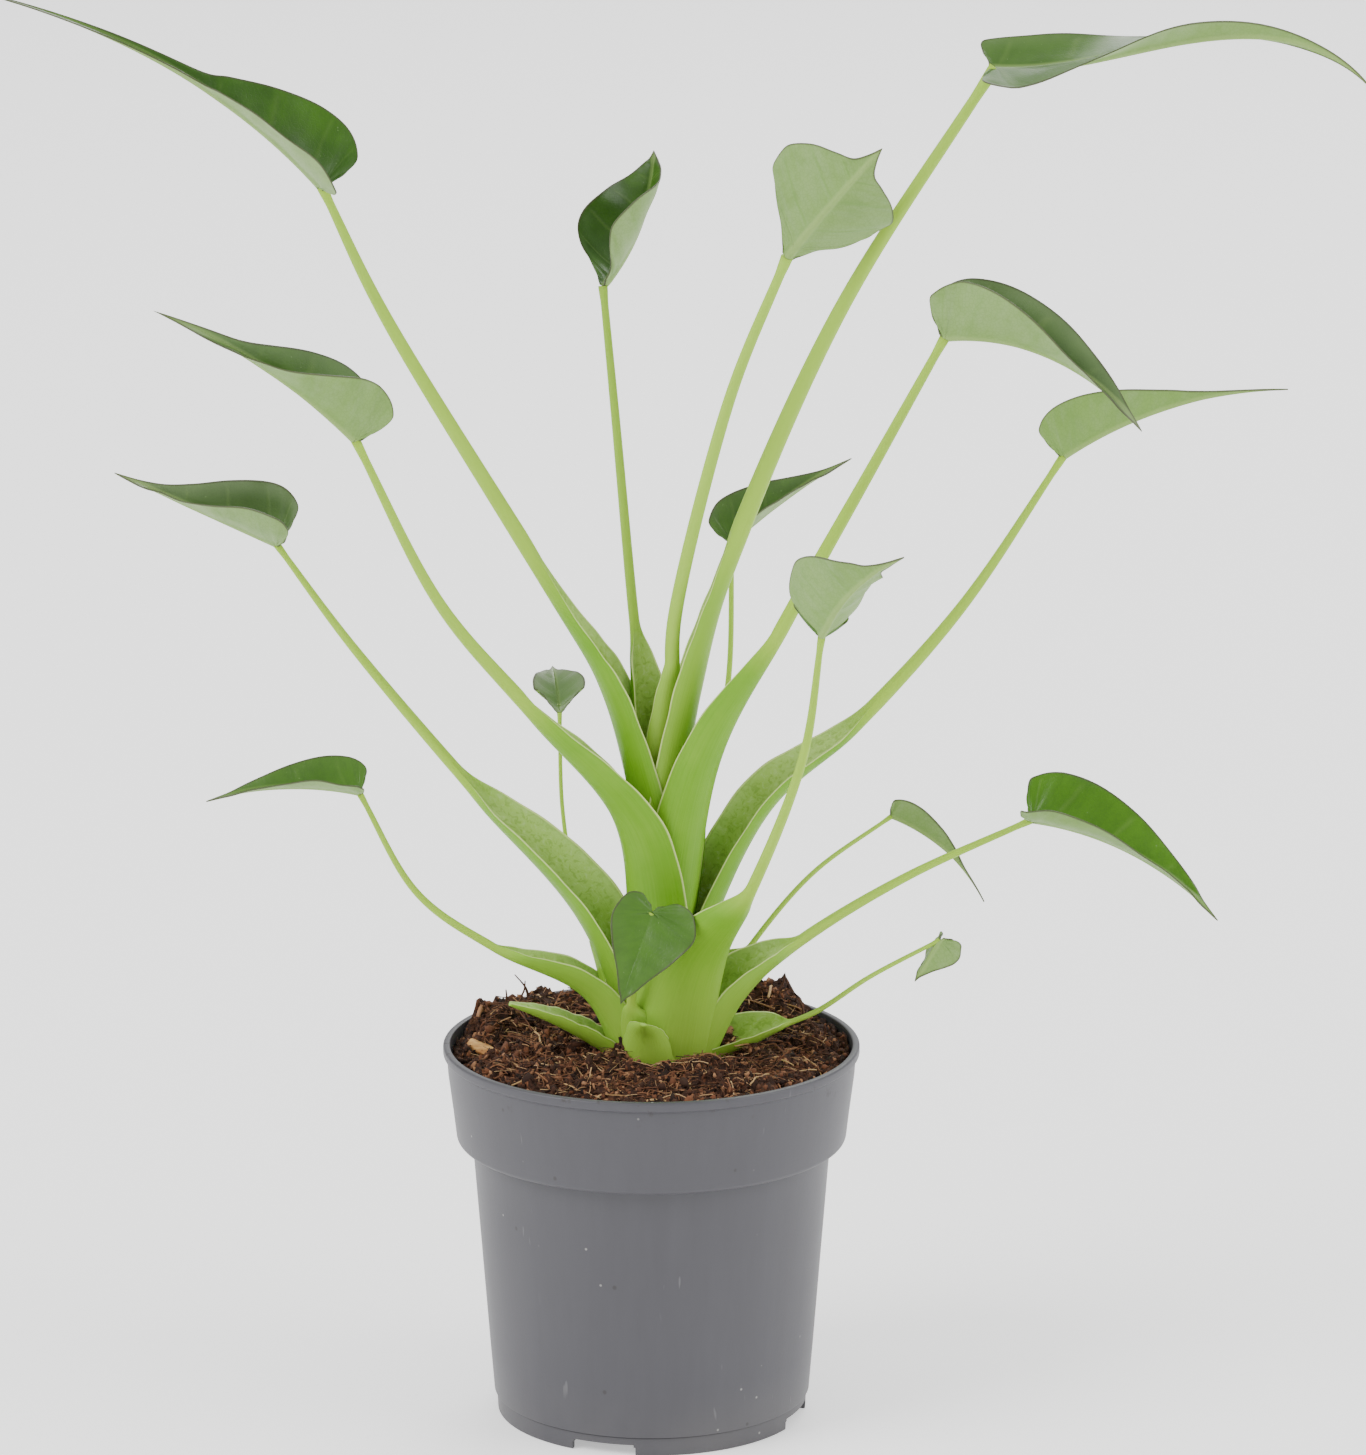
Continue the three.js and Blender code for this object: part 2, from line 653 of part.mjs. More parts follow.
// Stem
function stemGeometry() {
  const positions = [];
  const triangles = [];
  const { segments, rings } = STEM;
  const [low, high] = [rings[0][0], rings.at(-1)[0]];
  const center = (height) => {
    const rise = (height - low) / (high - low);
    return new THREE.Vector3(
      STEM.axis[0] + STEM.lean[0] * (0.5 - rise),
      STEM.axis[1] + STEM.lean[1] * (0.5 - rise),
      height,
    );
  };
  for (const [height, radius] of rings) {
    const middle = center(height);
    for (let k = 0; k < segments; k += 1) {
      const angle = 2 * Math.PI * k / segments;
      const outward = new THREE.Vector3(Math.cos(angle), Math.sin(angle), 0);
      positions.push(middle.clone().addScaledVector(outward, radius));
    }
  }
  const foot = positions.push(center(low)) - 1;
  const tip = positions.push(center(high)) - 1;
  const top = (rings.length - 1) * segments;
  for (let k = 0; k < segments; k += 1) {
    const next = (k + 1) % segments;
    triangles.push([foot, next, k], [tip, top + k, top + next]);
    for (let i = 0; i < rings.length - 1; i += 1) {
      const a = i * segments + k;
      const b = i * segments + next;
      triangles.push([a, b, b + segments], [a, b + segments, a + segments]);
    }
  }
  return meshGeometry(positions, triangles);
}

// Assembly
const plant = new THREE.Group();

// Rounding to single precision can pinch off a sliver, so the largest body is taken again after it
function addPiece(name, manifold, material) {
  const rounded = manifoldOf(geometryOf(largestBody(manifold)));
  const mesh = new THREE.Mesh(geometryOf(largestBody(rounded)), material);
  mesh.name = name;
  plant.add(mesh);
}

const stem = stemGeometry();
addPiece('stem', solid(stem), stemGreen);
let taken = cutter(stem);

const growth = [
  ...INNER_TO_OUTER.map((number) => [`leaf_${String(number).padStart(2, '0')}`, LEAVES[number - 1]]),
  ...Object.entries(BRACTS),
];
for (const [name, leaf] of growth) {
  const stalk = stalkGeometry(leaf);
  const around = cutter(stalk);
  addPiece(leaf.blade ? `${name}_stalk` : name, solid(stalk).subtract(taken), stalkGreen);
  if (leaf.blade) {
    const blade = thickened(bladeSurface(leaf), BLADE_THICKNESS);
    addPiece(`${name}_blade`, solid(blade).subtract(around).simplify(SLIVER), leafGreen);
  }
  taken = taken.add(around);
}

addPiece('soil', solid(soilGeometry()).subtract(taken), peatBrown);
addPiece('pot', buildPot(), plasticGrey);

// The origin is the middle of the whole plant's footprint, on the ground
const bounds = new THREE.Box3().setFromObject(plant);
const middle = bounds.getCenter(new THREE.Vector3());
plant.position.set(-middle.x, -middle.y, -bounds.min.z);

export default plant;
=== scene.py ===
"""A potted alocasia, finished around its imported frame.

Each leaf gets a fine blade with a raised midrib and a sheathed stalk, and stands in loose peat in a
nursery pot. The tables are millimetres, counted from the pot's axis and the ground.
"""

import math

import bmesh
import bpy
import numpy as np
from bpy.props import FloatProperty, FloatVectorProperty, IntProperty, PointerProperty
from mathutils import Euler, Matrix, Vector, noise


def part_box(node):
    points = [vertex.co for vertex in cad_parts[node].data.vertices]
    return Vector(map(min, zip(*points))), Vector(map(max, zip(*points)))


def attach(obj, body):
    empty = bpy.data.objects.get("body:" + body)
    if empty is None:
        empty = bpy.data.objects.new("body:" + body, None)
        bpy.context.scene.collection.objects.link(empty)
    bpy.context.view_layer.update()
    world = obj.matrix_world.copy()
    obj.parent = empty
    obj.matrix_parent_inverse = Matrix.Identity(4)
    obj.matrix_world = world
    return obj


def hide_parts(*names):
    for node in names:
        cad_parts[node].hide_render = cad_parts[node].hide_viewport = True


bl_info = {
    "name": "Potted alocasia",
    "version": (1, 0, 0),
    "blender": (4, 5, 0),
    "location": "View3D > Sidebar > Plant",
    "description": "Builds the blades, stalks, peat and pot of a small alocasia",
    "category": "Object",
}

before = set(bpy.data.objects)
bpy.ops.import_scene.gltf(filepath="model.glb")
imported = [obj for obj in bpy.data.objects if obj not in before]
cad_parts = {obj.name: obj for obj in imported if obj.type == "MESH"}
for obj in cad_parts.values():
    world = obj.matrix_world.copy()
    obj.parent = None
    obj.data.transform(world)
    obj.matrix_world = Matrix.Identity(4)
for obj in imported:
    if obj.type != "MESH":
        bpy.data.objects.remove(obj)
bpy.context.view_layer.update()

MM = 0.001
UP = np.array([0.0, 0.0, 1.0])
_low, _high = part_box("pot")
POT_AXIS = np.array([(_low.x + _high.x) / 2, (_low.y + _high.y) / 2, 0.0])
STEM_AXIS = np.array([3.0, 1.0, 0.0])
# Radius of the stem at some heights, as (height, radius)
STEM_RINGS = [(60, 5), (72, 8.5), (104, 10.5), (130, 9), (165, 6), (192, 3)]

# Sizes of a stalk. azimuth is the way it leaves the stem, in degrees from +X towards +Y, and path is its
# centreline as (distance from the stem's axis, height). petiole is its radius at the sheath's end and at the
# blade, sheath the share of it that is an open sheath, and hug the sheath's radius around the stem and its
# half angle at the foot. bow swings the end sideways, turn faces the opening away from the stem, and taper
# is how suddenly the sheath narrows.
STALK_KEYS = ("azimuth", "path", "petiole", "sheath", "hug", "blade")
PLAIN_STALK = dict(bow=0, turn=0, taper=2.6)

# Sizes of a blade. body and drip are lengths along the midrib, and width is half the breadth. heading and
# pitch point the midrib, and roll tips the blade about it (pitch and roll change along it). fold and curl
# raise each half at the stalk and at the tip. sweep turns the heading, uneven widens or narrows one half,
# lobe sizes the rear lobes (below 0 the base slopes forward) and lift raises them, belly moves the widest
# place towards the tip, and slant leans the lines across each half.
BLADE_KEYS = ("body", "drip", "width", "heading", "pitch", "roll", "fold", "curl")
PLAIN_BLADE = dict(sweep=0, uneven=1, lobe=0.5, lift=60, belly=0, slant=0.45)


def stalk_row(*sizes, **more):
    return {**PLAIN_STALK, **dict(zip(STALK_KEYS, sizes)), **more}


def blade_row(*sizes, **more):
    return {**PLAIN_BLADE, **dict(zip(BLADE_KEYS, sizes)), **more}


LEAVES = [
    stalk_row(186, ((5, 168), (15, 212), (31, 244), (75, 319), (95, 361)), (2.3, 1.15), 0.56, (9, 95),
              blade_row(48, 64, 17, 186, (49, -42, 8), (-27, 0), (30, 55), (25, 30), lobe=0.4), turn=-9),
    stalk_row(212, ((8, 128), (13, 175), (41, 211), (73, 249), (99, 298)), (2.05, 1.05), 0.56, (12.5, 90),
              blade_row(44, 26, 16, 200, (46, -22, 0), (6, -100), (45, 40), (40, 20), lobe=0.4), turn=-12),
    stalk_row(163, ((9, 112), (25, 149), (57, 181), (92, 219), (116, 249)), (1.7, 0.85), 0.55, (10, 95),
              blade_row(36, 15, 16, 178, (24, 0, 0), (-20, -20), (40, 50), (40, 20),
                        lobe=0.35), turn=-14, taper=3.4),
    stalk_row(190, ((11, 100), (22, 125), (48, 140), (71, 158), (87, 188)), (1.25, 0.75), 0.53, (10, 90),
              blade_row(34, 10, 10, 182, (12, -30, 0), (-16, 0), (25, 35), (30, 20), lobe=0.3), turn=3),
    stalk_row(128, ((4, 172), (8, 205), (14, 240), (21, 288), (27, 327)), (1.5, 1.05), 0.46, (8, 90),
              blade_row(41, 5, 17, 34, (42, 14, 0), (-10, 0), (25, 40), (70, 30),
                        sweep=55, lobe=-0.8, belly=0.2, slant=0.2)),
    stalk_row(330, ((3, 178), (3.5, 215), (5.5, 242), (21.8, 300), (40.4, 343)), (2.15, 1.35), 0.34, (7, 90),
              blade_row(34, 8, 22, 343, (52, -5, 0), (-74, 0), (25, 0), (35, 10), lobe=-1, belly=0.35)),
    stalk_row(356, ((4, 172), (10, 215), (20.5, 256), (50.7, 325.5), (93, 394)), (2.75, 1.4), 0.53, (9, 95),
              blade_row(85, 27, 12, 2, (-4, 95, -145), (32, -118), (5, 32), (15, 10),
                        lobe=0.9, lift=10, belly=0.05), turn=2),
    stalk_row(55, ((8, 140), (18, 170), (27, 190), (34, 214), (35, 251)), (0.95, 0.75), 0.32, (8, 80),
              blade_row(31, 12, 11, 20, (38, -15, 0), (22, 0), (35, 50), (30, 20))),
    stalk_row(328, ((7, 140), (17, 195), (41, 239), (68, 285), (92, 326)), (2.1, 1.15), 0.49, (10, 100),
              blade_row(50, 13, 16, 345, (7, -60, 0), (-5, 50), (58, 30), (30, 20))),
    stalk_row(22, ((9, 133), (31, 176), (61, 199), (94, 231), (125, 272)), (2.1, 0.95), 0.55, (8, 100),
              blade_row(44, 25, 14, 355, (35, -34, 0), (-28, 0), (35, 40), (40, 20), lobe=0.3), turn=10),
    stalk_row(300, ((12, 100), (25, 138), (51, 168), (78, 211), (88, 248)), (1.7, 0.85), 0.51, (13, 110),
              blade_row(30, 11, 16, 304, (58, -32, 0), (-27, 0), (35, 15), (35, 20),
                        sweep=24, uneven=1.1, lobe=-0.3, belly=0.2, slant=0.2)),
    stalk_row(120, ((10, 112), (30, 134), (51, 148), (58.5, 166), (60, 194.5)), (0.7, 0.6), 0.25, (9, 80),
              blade_row(18, 4, 10, 97, (40, -30, 0), (0, 0), (30, 30), (25, 10),
                        lobe=-0.7, belly=0.15, slant=0.2)),
    stalk_row(4, ((12, 100), (23, 124), (41, 140), (71, 158), (106.5, 174)), (1.65, 0.85), 0.51, (12, 90),
              blade_row(50, 12, 15, 350, (-6, -42, 0), (20, 0), (28, 40), (40, 20), lobe=0.6), turn=8),
    stalk_row(35, ((13, 102), (23, 122), (33, 135), (54, 152), (82, 164.5)), (0.85, 0.6), 0.48, (11, 80),
              blade_row(26, 12, 7, 350, (-20, -44, 0), (-20, 0), (40, 50), (30, 20)), turn=12),
    stalk_row(8, ((14, 103), (29, 111), (45, 117), (61, 127), (81, 137)), (0.85, 0.6), 0.4, (9, 80),
              blade_row(11, 3, 8, 203, (-56, 0, 0), (150, 0), (40, 40), (20, 10), lobe=1), turn=14),
    stalk_row(235, ((12, 100), (16, 118), (20, 132), (24, 145), (26, 157)), (1.4, 0.9), 0.4, (8, 90),
              blade_row(24, 4, 14, 233, (-58, 0, 0), (-35, 0), (8, 10), (10, 10),
                        uneven=0.75, lobe=0.9, lift=10), bow=15),
]
BRACTS = {
    "bract_front": stalk_row(251, ((15, 100), (17.5, 109), (20, 117), (24, 122.5)), (1.2, 1), 1, (10, 75),
                             bow=3, taper=1.8),
    "bract_left": stalk_row(190, ((12, 98), (17, 108), (30, 117), (44, 124)), (1.2, 1), 1, (7, 85)),
    "bract_back": stalk_row(150, ((12, 100), (17, 120), (20, 130), (23, 137)), (1.2, 1), 1, (8, 80)),
}

# How fresh each stalk and blade looks: 0 is dark and grey-green, 1 is pale and yellow-green
STALK_TONE = [0.55, 0.5, 0.55, 0.5, 0.3, 0.95, 0.8, 0.5, 0.5, 0.45, 0.5, 0.6, 0.6, 0.7, 0.6, 0.5]
BLADE_TONE = [0.25, 0.6, 0.2, 0.6, 0.1, 0.4, 0.45, 0.25, 0.3, 0.9, 0.5, 0.6, 0.95, 0.3, 0.4, 0.5]
# How clearly each blade shows its side veins, and how much grey-green glaucous wax and painted sheen lies on
# its upper side
VEINED = [0.3, 0.5, 0.6, 0.3, 0.5, 0.9, 0.5, 0.5, 0.6, 0.5, 0.5, 0.3, 0.6, 0.3, 0.4, 0]
WAX_AND_SHEEN = [0, 0.4, 0.7, 0.15, 0.1, 0.3, 0.35, 0.3, 0.6, 0.4, 0.4, 0.9, 0, 0.6, 0.6, 0.15]
STEM_TONE, BRACT_TONE = 0.5, 0.55

# Sheaths: the wall at the foot, the half angle at the end, where along it closing starts, the wrap of the
# closed end, and where its turn is complete
SHEATH_WALL = 2.2
SHEATH_OPENING = 80
CLOSING_START = 0.8
CLOSED_WRAP = 60
TURN_END = 0.6

# Blades: how far a half stays flat beside the midrib, and how far back the edge of the base runs
FLAT_REACH = 3
LOBED_BASE = (0.2, 0.33, 0.22)
SLOPED_BASE = (0.12, 0.33, 0.55)

# Drain holes in the pot's floor: distance from the axis, and radius
DRAIN_RING, DRAIN_RADIUS = 31, 4

# The pale chip's place and size, and the standing rootlets: foot, how far the top leans and rises, and
# radius at the foot
CHIP_PLACE, CHIP_SIZE = (-47, 2), (13, 4.2, 1.1)
TWIGS = (((-36, 34), (-4, -1, 11), 0.55), ((-44, 27), (1.5, 1, 7), 0.45), ((-47, 20), (-3, 0, 6), 0.4),
         ((-39, 30), (2, 2, 6), 0.4), ((44, 20), (-2, 1, 7), 0.45), ((36, 34), (3, 0, 6), 0.45),
         ((49, 6), (1, -2, 6), 0.4), ((30, 40), (-3, 1, 6), 0.45))

# Places where the peat is heaped up or hollow, as x, y, height and width
PEAT_MOUNDS = ((-42, 24, 6, 13), (34, 36, 6, 12), (47, 10, 3, 9), (-30, -32, 2, 12), (14, -26, 2.5, 9),
               (20, -6, -5, 6), (-8, 46, 3, 10), (38, -28, 2, 8))
# Radius of the peat's top, and how far out crumbs and fibres lie on it
PEAT_RADIUS, CRUMB_REACH, FIBRE_REACH = 57.2, 56, 50

# How finely things are divided
SHEATH_ROWS, PETIOLE_ROWS = 60, 44
STALK_SIDES, THIN_STALK_SIDES, THIN_STALK = 14, 10, 1.3
BLADE_GRID, SMALL_BLADE_GRID, SMALL_BLADE = (84, 14), (56, 10), 11.5
MIDRIB_STEPS = 400
POT_SEGMENTS, STEM_SEGMENTS, STEM_ROWS = 192, 48, 40
PEAT_RINGS, PEAT_SEGMENTS = 84, 260
TWIG_ROWS, TWIG_SIDES = 10, 6
FLOOR_SIDES = 96

# Lamps: place, diameter and watts
LAMPS = {"key": ((-2.3, -1.3, 2.4), 2.0, 95), "fill": ((2.6, -0.9, 1.7), 2.2, 55),
         "back": ((0.6, 2.4, 2.4), 2.0, 50)}


# Settings
def linear(level):
    """A screen level from 0 to 255 as a linear value"""
    share = level / 255
    return share / 12.92 if share <= 0.04045 else ((share + 0.055) / 1.055) ** 2.4


def screen(*levels):
    """A colour from its three screen levels"""
    return tuple(linear(level) for level in levels)


def length(name, description, default):
    return FloatProperty(name=name, description=description, default=default, subtype="DISTANCE",
                         unit="LENGTH", precision=4)


def tint(name, description, *levels):
    return FloatVectorProperty(name=name, description=description, subtype="COLOR", size=3,
                               min=0, max=1, default=screen(*levels))


class PotSettings(bpy.types.PropertyGroup):
    height: length("Height", "Ground to rim", 0.110)
    rim_radius: length("Rim radius", "Outside radius at the lip", 0.060)
    lip_height: length("Lip height", "Height of the thick lip", 0.0028)
    lip_overhang: length("Lip overhang", "How far the lip stands out", 0.0007)
    band_bottom: length("Band bottom", "Height of the step under the wide band", 0.082)
    band_radius: length("Band radius", "Outside radius at the band's foot", 0.0563)
    body_top_radius: length("Body top radius", "Outside radius just under the band", 0.0517)
    body_bottom_radius: length("Body bottom radius", "Outside radius above the skirt", 0.0458)
    skirt_height: length("Skirt height", "Height of the foot ring", 0.0055)
    skirt_radius: length("Skirt radius", "Outside radius of the foot ring", 0.0448)
    wall: length("Wall", "Thickness of the plastic", 0.0013)
    floor_top: length("Floor top", "Height of the pot's floor inside", 0.007)
    floor_underside: length("Floor underside", "Height of the pot's floor outside", 0.0052)
    notches: IntProperty(name="Notches", description="Drain notches in the foot ring", default=4, min=1)
    notch_width: length("Notch width", "Width of a drain notch", 0.019)
    notch_height: length("Notch height", "Height of a drain notch", 0.0032)
    notch_angle: FloatProperty(name="First notch", description="Direction of the first notch",
                               default=math.radians(252), subtype="ANGLE", unit="ROTATION")
    drains: IntProperty(name="Drain holes", description="Holes in the floor", default=6, min=1)
    colour: tint("Colour", "Grey of the plastic", 65, 64, 69)


class SoilSettings(bpy.types.PropertyGroup):
    edge_height: length("Edge height", "Height of the peat at the pot's wall", 0.106)
    mound: length("Mound", "How much higher the middle is", 0.0025)
    lumps: length("Lumps", "Height of the coarse lumps", 0.0036)
    crumb_count: FloatProperty(name="Crumbs", description="Crumbs a square metre", default=360000)
    crumb_radius: length("Crumb radius", "Radius of a middling crumb", 0.0007)
    chunk_count: FloatProperty(name="Chunks", description="Coarse bits a square metre", default=16000)
    fibre_count: FloatProperty(name="Fibres", description="Lying fibres a square metre", default=110000)
    hair_count: FloatProperty(name="Hairs", description="Fine roots a square metre", default=270000)
    wisp_count: FloatProperty(name="Wisps", description="Rising fibres a square metre", default=14000)
    straw_count: FloatProperty(name="Straws", description="Pale straws a square metre", default=5000)
    fibre_length: length("Fibre length", "Length of a middling fibre", 0.008)
    fibre_radius: length("Fibre radius", "Radius of a middling fibre", 0.0001)
    seed: IntProperty(name="Seed", description="Lays the fibres another way", default=7)
    peat: tint("Peat", "Dark brown of the peat", 68, 42, 29)
    bark: tint("Bark", "Red brown of the coarse bits", 108, 66, 42)
    straw: tint("Straw", "Pale fibres", 188, 156, 110)


class StalkSettings(bpy.types.PropertyGroup):
    margin: length("Margin", "Thickness of a sheath's edge", 0.00045)
    ripple: length("Ripple", "How far a sheath's edge waves", 0.0002)
    flare: FloatProperty(name="Flare", description="How much the stalk swells at the blade",
                         default=0.3, min=0, max=1, subtype="FACTOR")
    foot: tint("Foot", "Pale colour near the soil", 165, 200, 80)
    sheath: tint("Sheath", "Green of the sheaths", 92, 146, 8)
    petiole: tint("Petiole", "Yellow-green of the round stalks", 144, 180, 52)
    hollow: tint("Hollow", "Green inside an open sheath", 160, 192, 98)
    edge: tint("Edge", "Pale line along a sheath's edge", 210, 224, 146)


class BladeSettings(bpy.types.PropertyGroup):
    thickness: length("Thickness", "Thickness at the midrib", 0.0008)
    edge_thickness: length("Edge thickness", "Thickness at the edge", 0.00035)
    midrib: FloatProperty(name="Midrib", description="Height of the midrib for its stalk's radius",
                          default=0.95, min=0, max=2)
    vein_pairs: IntProperty(name="Vein pairs", description="Side veins on each half", default=8, min=1)
    quilting: length("Quilting", "How far the blade bulges between veins", 0.00028)
    undulation: length("Undulation", "How far the edge waves", 0.0003)
    upper: tint("Upper side", "Dark green of the upper side", 28, 60, 6)
    fresh: tint("Fresh upper side", "Green of a young blade's upper side", 70, 116, 12)
    under: tint("Underside", "Pale grey-green of the underside", 129, 155, 95)
    under_fresh: tint("Fresh underside", "Green of a young blade's underside", 112, 147, 66)
    vein: tint("Veins", "Pale green of midrib and veins", 146, 172, 98)
    rim: tint("Rim", "Thin dusky line around the blade", 66, 66, 46)
    # A grey-green for glaucous wax on the upper side, which also serves there as a painted sheen
    bloom: tint("Bloom", "Grey-green dust on the upper side", 100, 120, 80)


class StageSettings(bpy.types.PropertyGroup):
    distance: length("Distance", "Camera to the pot's axis, along the floor", 2.0)
    camera_height: length("Camera height", "Camera above the floor", 0.711)
    camera_side: length("Camera side", "Camera to the right of the pot's axis", 0.0091)
    pitch: FloatProperty(name="Pitch", description="How far the camera looks down",
                         default=math.radians(14.24), subtype="ANGLE", unit="ROTATION")
    focal: FloatProperty(name="Focal length", description="On a sensor as long as the picture's long side",
                         default=179.24, unit="CAMERA")
    floor_radius: length("Floor radius", "Radius of the round floor", 9.0)
    floor: tint("Floor", "Pale floor", 244, 244, 244)
    glow: FloatProperty(name="Floor glow", description="Light that the floor adds", default=0.55, min=0)
    sky: FloatProperty(name="Sky", description="Light from all around", default=0.95, min=0)


# Small sums
def lerp(start, end, share):
    return start + (end - start) * share


def smoothstep(value, low, high):
    share = np.clip((value - low) / (high - low), 0, 1)
    return share * share * (3 - 2 * share)


def unit(vectors):
    return vectors / np.maximum(np.linalg.norm(vectors, axis=-1, keepdims=True), 1e-12)


def spline(points, shares):
    """A smooth curve through points, read at shares from 0 to 1 of its spans"""
    points = np.asarray(points, float)
    last = len(points) - 1
    place = np.clip(shares, 0, 1) * last
    index = np.minimum(place.astype(int), last - 1)
    w = (place - index)[:, None]
    padded = np.vstack([2 * points[0] - points[1], points, 2 * points[-1] - points[-2]])
    before, start, end, after = (padded[index + k] for k in range(4))
    leaving, arriving = (end - before) / 2, (after - start) / 2
    return (start + leaving * w + (3 * (end - start) - 2 * leaving - arriving) * w ** 2
            + (2 * (start - end) + leaving + arriving) * w ** 3)


# Shader sums
class Value:
    """A socket that can be used in sums: each operator adds its Math node"""

    def __init__(self, finish, socket):
        self.finish, self.socket = finish, socket

    def sum(self, operation, first, second=0.5, clamp=False):
        return self.finish.add("ShaderNodeMath", {"operation": operation, "use_clamp": clamp},
                               {0: first, 1: second})

    def __add__(self, other):
        return self.sum("ADD", self, other)

    def __sub__(self, other):
        return self.sum("SUBTRACT", self, other)

    def __rsub__(self, other):
        return self.sum("SUBTRACT", other, self)

    def __mul__(self, other):
        return self.sum("MULTIPLY", self, other)

    __radd__ = __add__
    __rmul__ = __mul__

    def fraction(self):
        return self.sum("FRACT", self)

    def away_from(self, other):
        return self.sum("ABSOLUTE", self - other)

    def clamped(self):
        return self.sum("ADD", self, 0.0, clamp=True)

    def between(self, low, high):
        """0 at low, 1 at high, and smooth between; low may be the larger"""
        return self.finish.add("ShaderNodeMapRange", {"interpolation_type": "SMOOTHSTEP"},
                               {"Value": self, "From Min": low, "From Max": high})


def rgba(colour):
    """Three values with their alpha; a socket stays as it is"""
    return colour if isinstance(colour, Value) else (*colour, 1.0)


class Finish:
    """One material and its nodes"""

    def __init__(self, name, **constants):
        self.material = bpy.data.materials.new(name)
        self.material.use_nodes = True
        tree = self.material.node_tree
        self.nodes, self.links = tree.nodes, tree.links
        self.shader = self.nodes["Principled BSDF"]
        self.feed(**constants)

    def add(self, kind, settings=None, values=None, output=0):
        node = self.nodes.new(kind)
        for key, setting in (settings or {}).items():
            if key == "stops":
                self.set_stops(node.color_ramp, setting)
            else:
                setattr(node, key, setting)
        for key, value in (values or {}).items():
            self.join(value, node.inputs[key])
        return Value(self, node.outputs[output])

    def set_stops(self, ramp, stops):
        while len(ramp.elements) < len(stops):
            ramp.elements.new(0.5)
        for element, (place, colour) in zip(ramp.elements, stops):
            element.position, element.color = place, rgba(colour)

    def join(self, value, socket):
        if isinstance(value, Value):
            self.links.new(value.socket, socket)
        else:
            socket.default_value = value

    def feed(self, **values):
        for key, value in values.items():
            self.join(value, self.shader.inputs[key.replace("_", " ")])
        return self.material

    def attributes(self, *names):
        return [self.add("ShaderNodeAttribute", {"attribute_name": name}, output="Fac") for name in names]

    def wrap(self):
        """The piece's own map: across and along it"""
        return self.add("ShaderNodeUVMap", {"uv_map": "wrap"})

    def place(self, scale=(1, 1, 1), vector=None, turn=(0, 0, 0)):
        """Object coordinates, or another vector, turned and stretched"""
        vector = vector or self.add("ShaderNodeTexCoord", output="Object")
        return self.add("ShaderNodeMapping", values={"Vector": vector, "Rotation": turn, "Scale": scale})

    def part(self, vector, axis):
        return self.add("ShaderNodeSeparateXYZ", values={"Vector": vector}, output=axis)

    def noise(self, scale, detail, rough, vector=None, swirl=0.0):
        return self.add("ShaderNodeTexNoise", values={
            "Scale": scale, "Detail": detail, "Roughness": rough, "Distortion": swirl,
            "Vector": vector or self.place()})

    def cells(self, scale, feature="F1", vector=None):
        return self.add("ShaderNodeTexVoronoi", {"feature": feature},
                        {"Scale": scale, "Vector": vector or self.place()}, "Distance")

    def mix(self, share, first, second):
        return self.add("ShaderNodeMix", {"data_type": "RGBA", "clamp_factor": True},
                        {0: share, 6: rgba(first), 7: rgba(second)}, 2)

    def layered(self, colour, *layers):
        """A colour under others, each of them given as its share and its colour"""
        for share, over in layers:
            colour = self.mix(share, colour, over)
        return colour

    def bump(self, height, distance, strength):
        return self.add("ShaderNodeBump", values={"Height": height, "Distance": distance,
                                                  "Strength": strength})


def blade_finish(sizes):
    finish = Finish("blade", Specular_IOR_Level=0.22, Coat_Roughness=0.2)
    under, tone, rib, edge, veined, bloom = finish.attributes(
        "under", "tone", "rib", "edge", "veined", "bloom")
    wrap = finish.wrap()
    broad = finish.noise(45, 3, 0.6)
    fine = finish.noise(420, 3, 0.65)
    net = finish.cells(900, "DISTANCE_TO_EDGE")
    from_vein = (finish.part(wrap, "X") * sizes.vein_pairs + broad * 0.35).fraction().away_from(0.5)
    veins = from_vein.between(0.41, 0.5) * rib.between(0.0, 3.0) * edge.between(0.3, 3.0)
    veins = veins * veined * (0.4 + broad)
    midrib = rib.between(1.3, 0.35)
    blotches = finish.noise(95, 4, 0.6, swirl=0.6).between(0.4, 0.75)
    streaks = finish.noise(1.0, 3, 0.6, finish.place((30, 2.5, 1), wrap)).between(0.35, 0.75)
    # Grey-green over the upper side, partly glaucous wax and partly a painted sheen, mottled and stronger
    # towards the edge
    wax_and_sheen_mask = bloom * (broad * 0.6 + 0.3 + edge.between(6.0, 0.5) * 0.5)
    flecks = finish.noise(900, 1, 0.5).between(0.75, 0.8)

    upper = finish.layered(
        sizes.upper, (tone, sizes.fresh), (broad.between(0.4, 0.7) * 0.4, sizes.fresh),
        (streaks * 0.25, screen(22, 50, 8)), (wax_and_sheen_mask, sizes.bloom), (veins * 0.14, sizes.vein),
        (midrib * veined * 0.6, sizes.vein), (flecks * 0.3, screen(130, 160, 104)))
    lower = finish.layered(
        sizes.under, (tone, sizes.under_fresh), (blotches * 0.6, screen(98, 132, 58)),
        (streaks * 0.35, screen(136, 158, 110)), (rib.between(7.0, 0.5) * 0.35, sizes.under_fresh),
        (net.between(0.14, 0.0) * 0.2, screen(80, 116, 48)), (veins * 0.45, screen(102, 140, 64)),
        (midrib * 0.5, sizes.vein))
    colour = finish.layered(
        upper, (under.between(0.4, 0.6), lower), (edge.between(0.6, 0.15) * 0.8, sizes.rim))
    rough = (fine - 0.5) * 0.16 + broad * 0.12 + 0.27 + under * 0.2
    relief = veins * 0.6 + fine * 0.1 + broad * 0.3 - net.between(0.1, 0.0) * 0.08
    return finish.feed(Base_Color=colour, Roughness=rough.clamped(),
                       Coat_Weight=(0.1 - under * 0.08).clamped(), Normal=finish.bump(relief, 0.0003, 0.7))


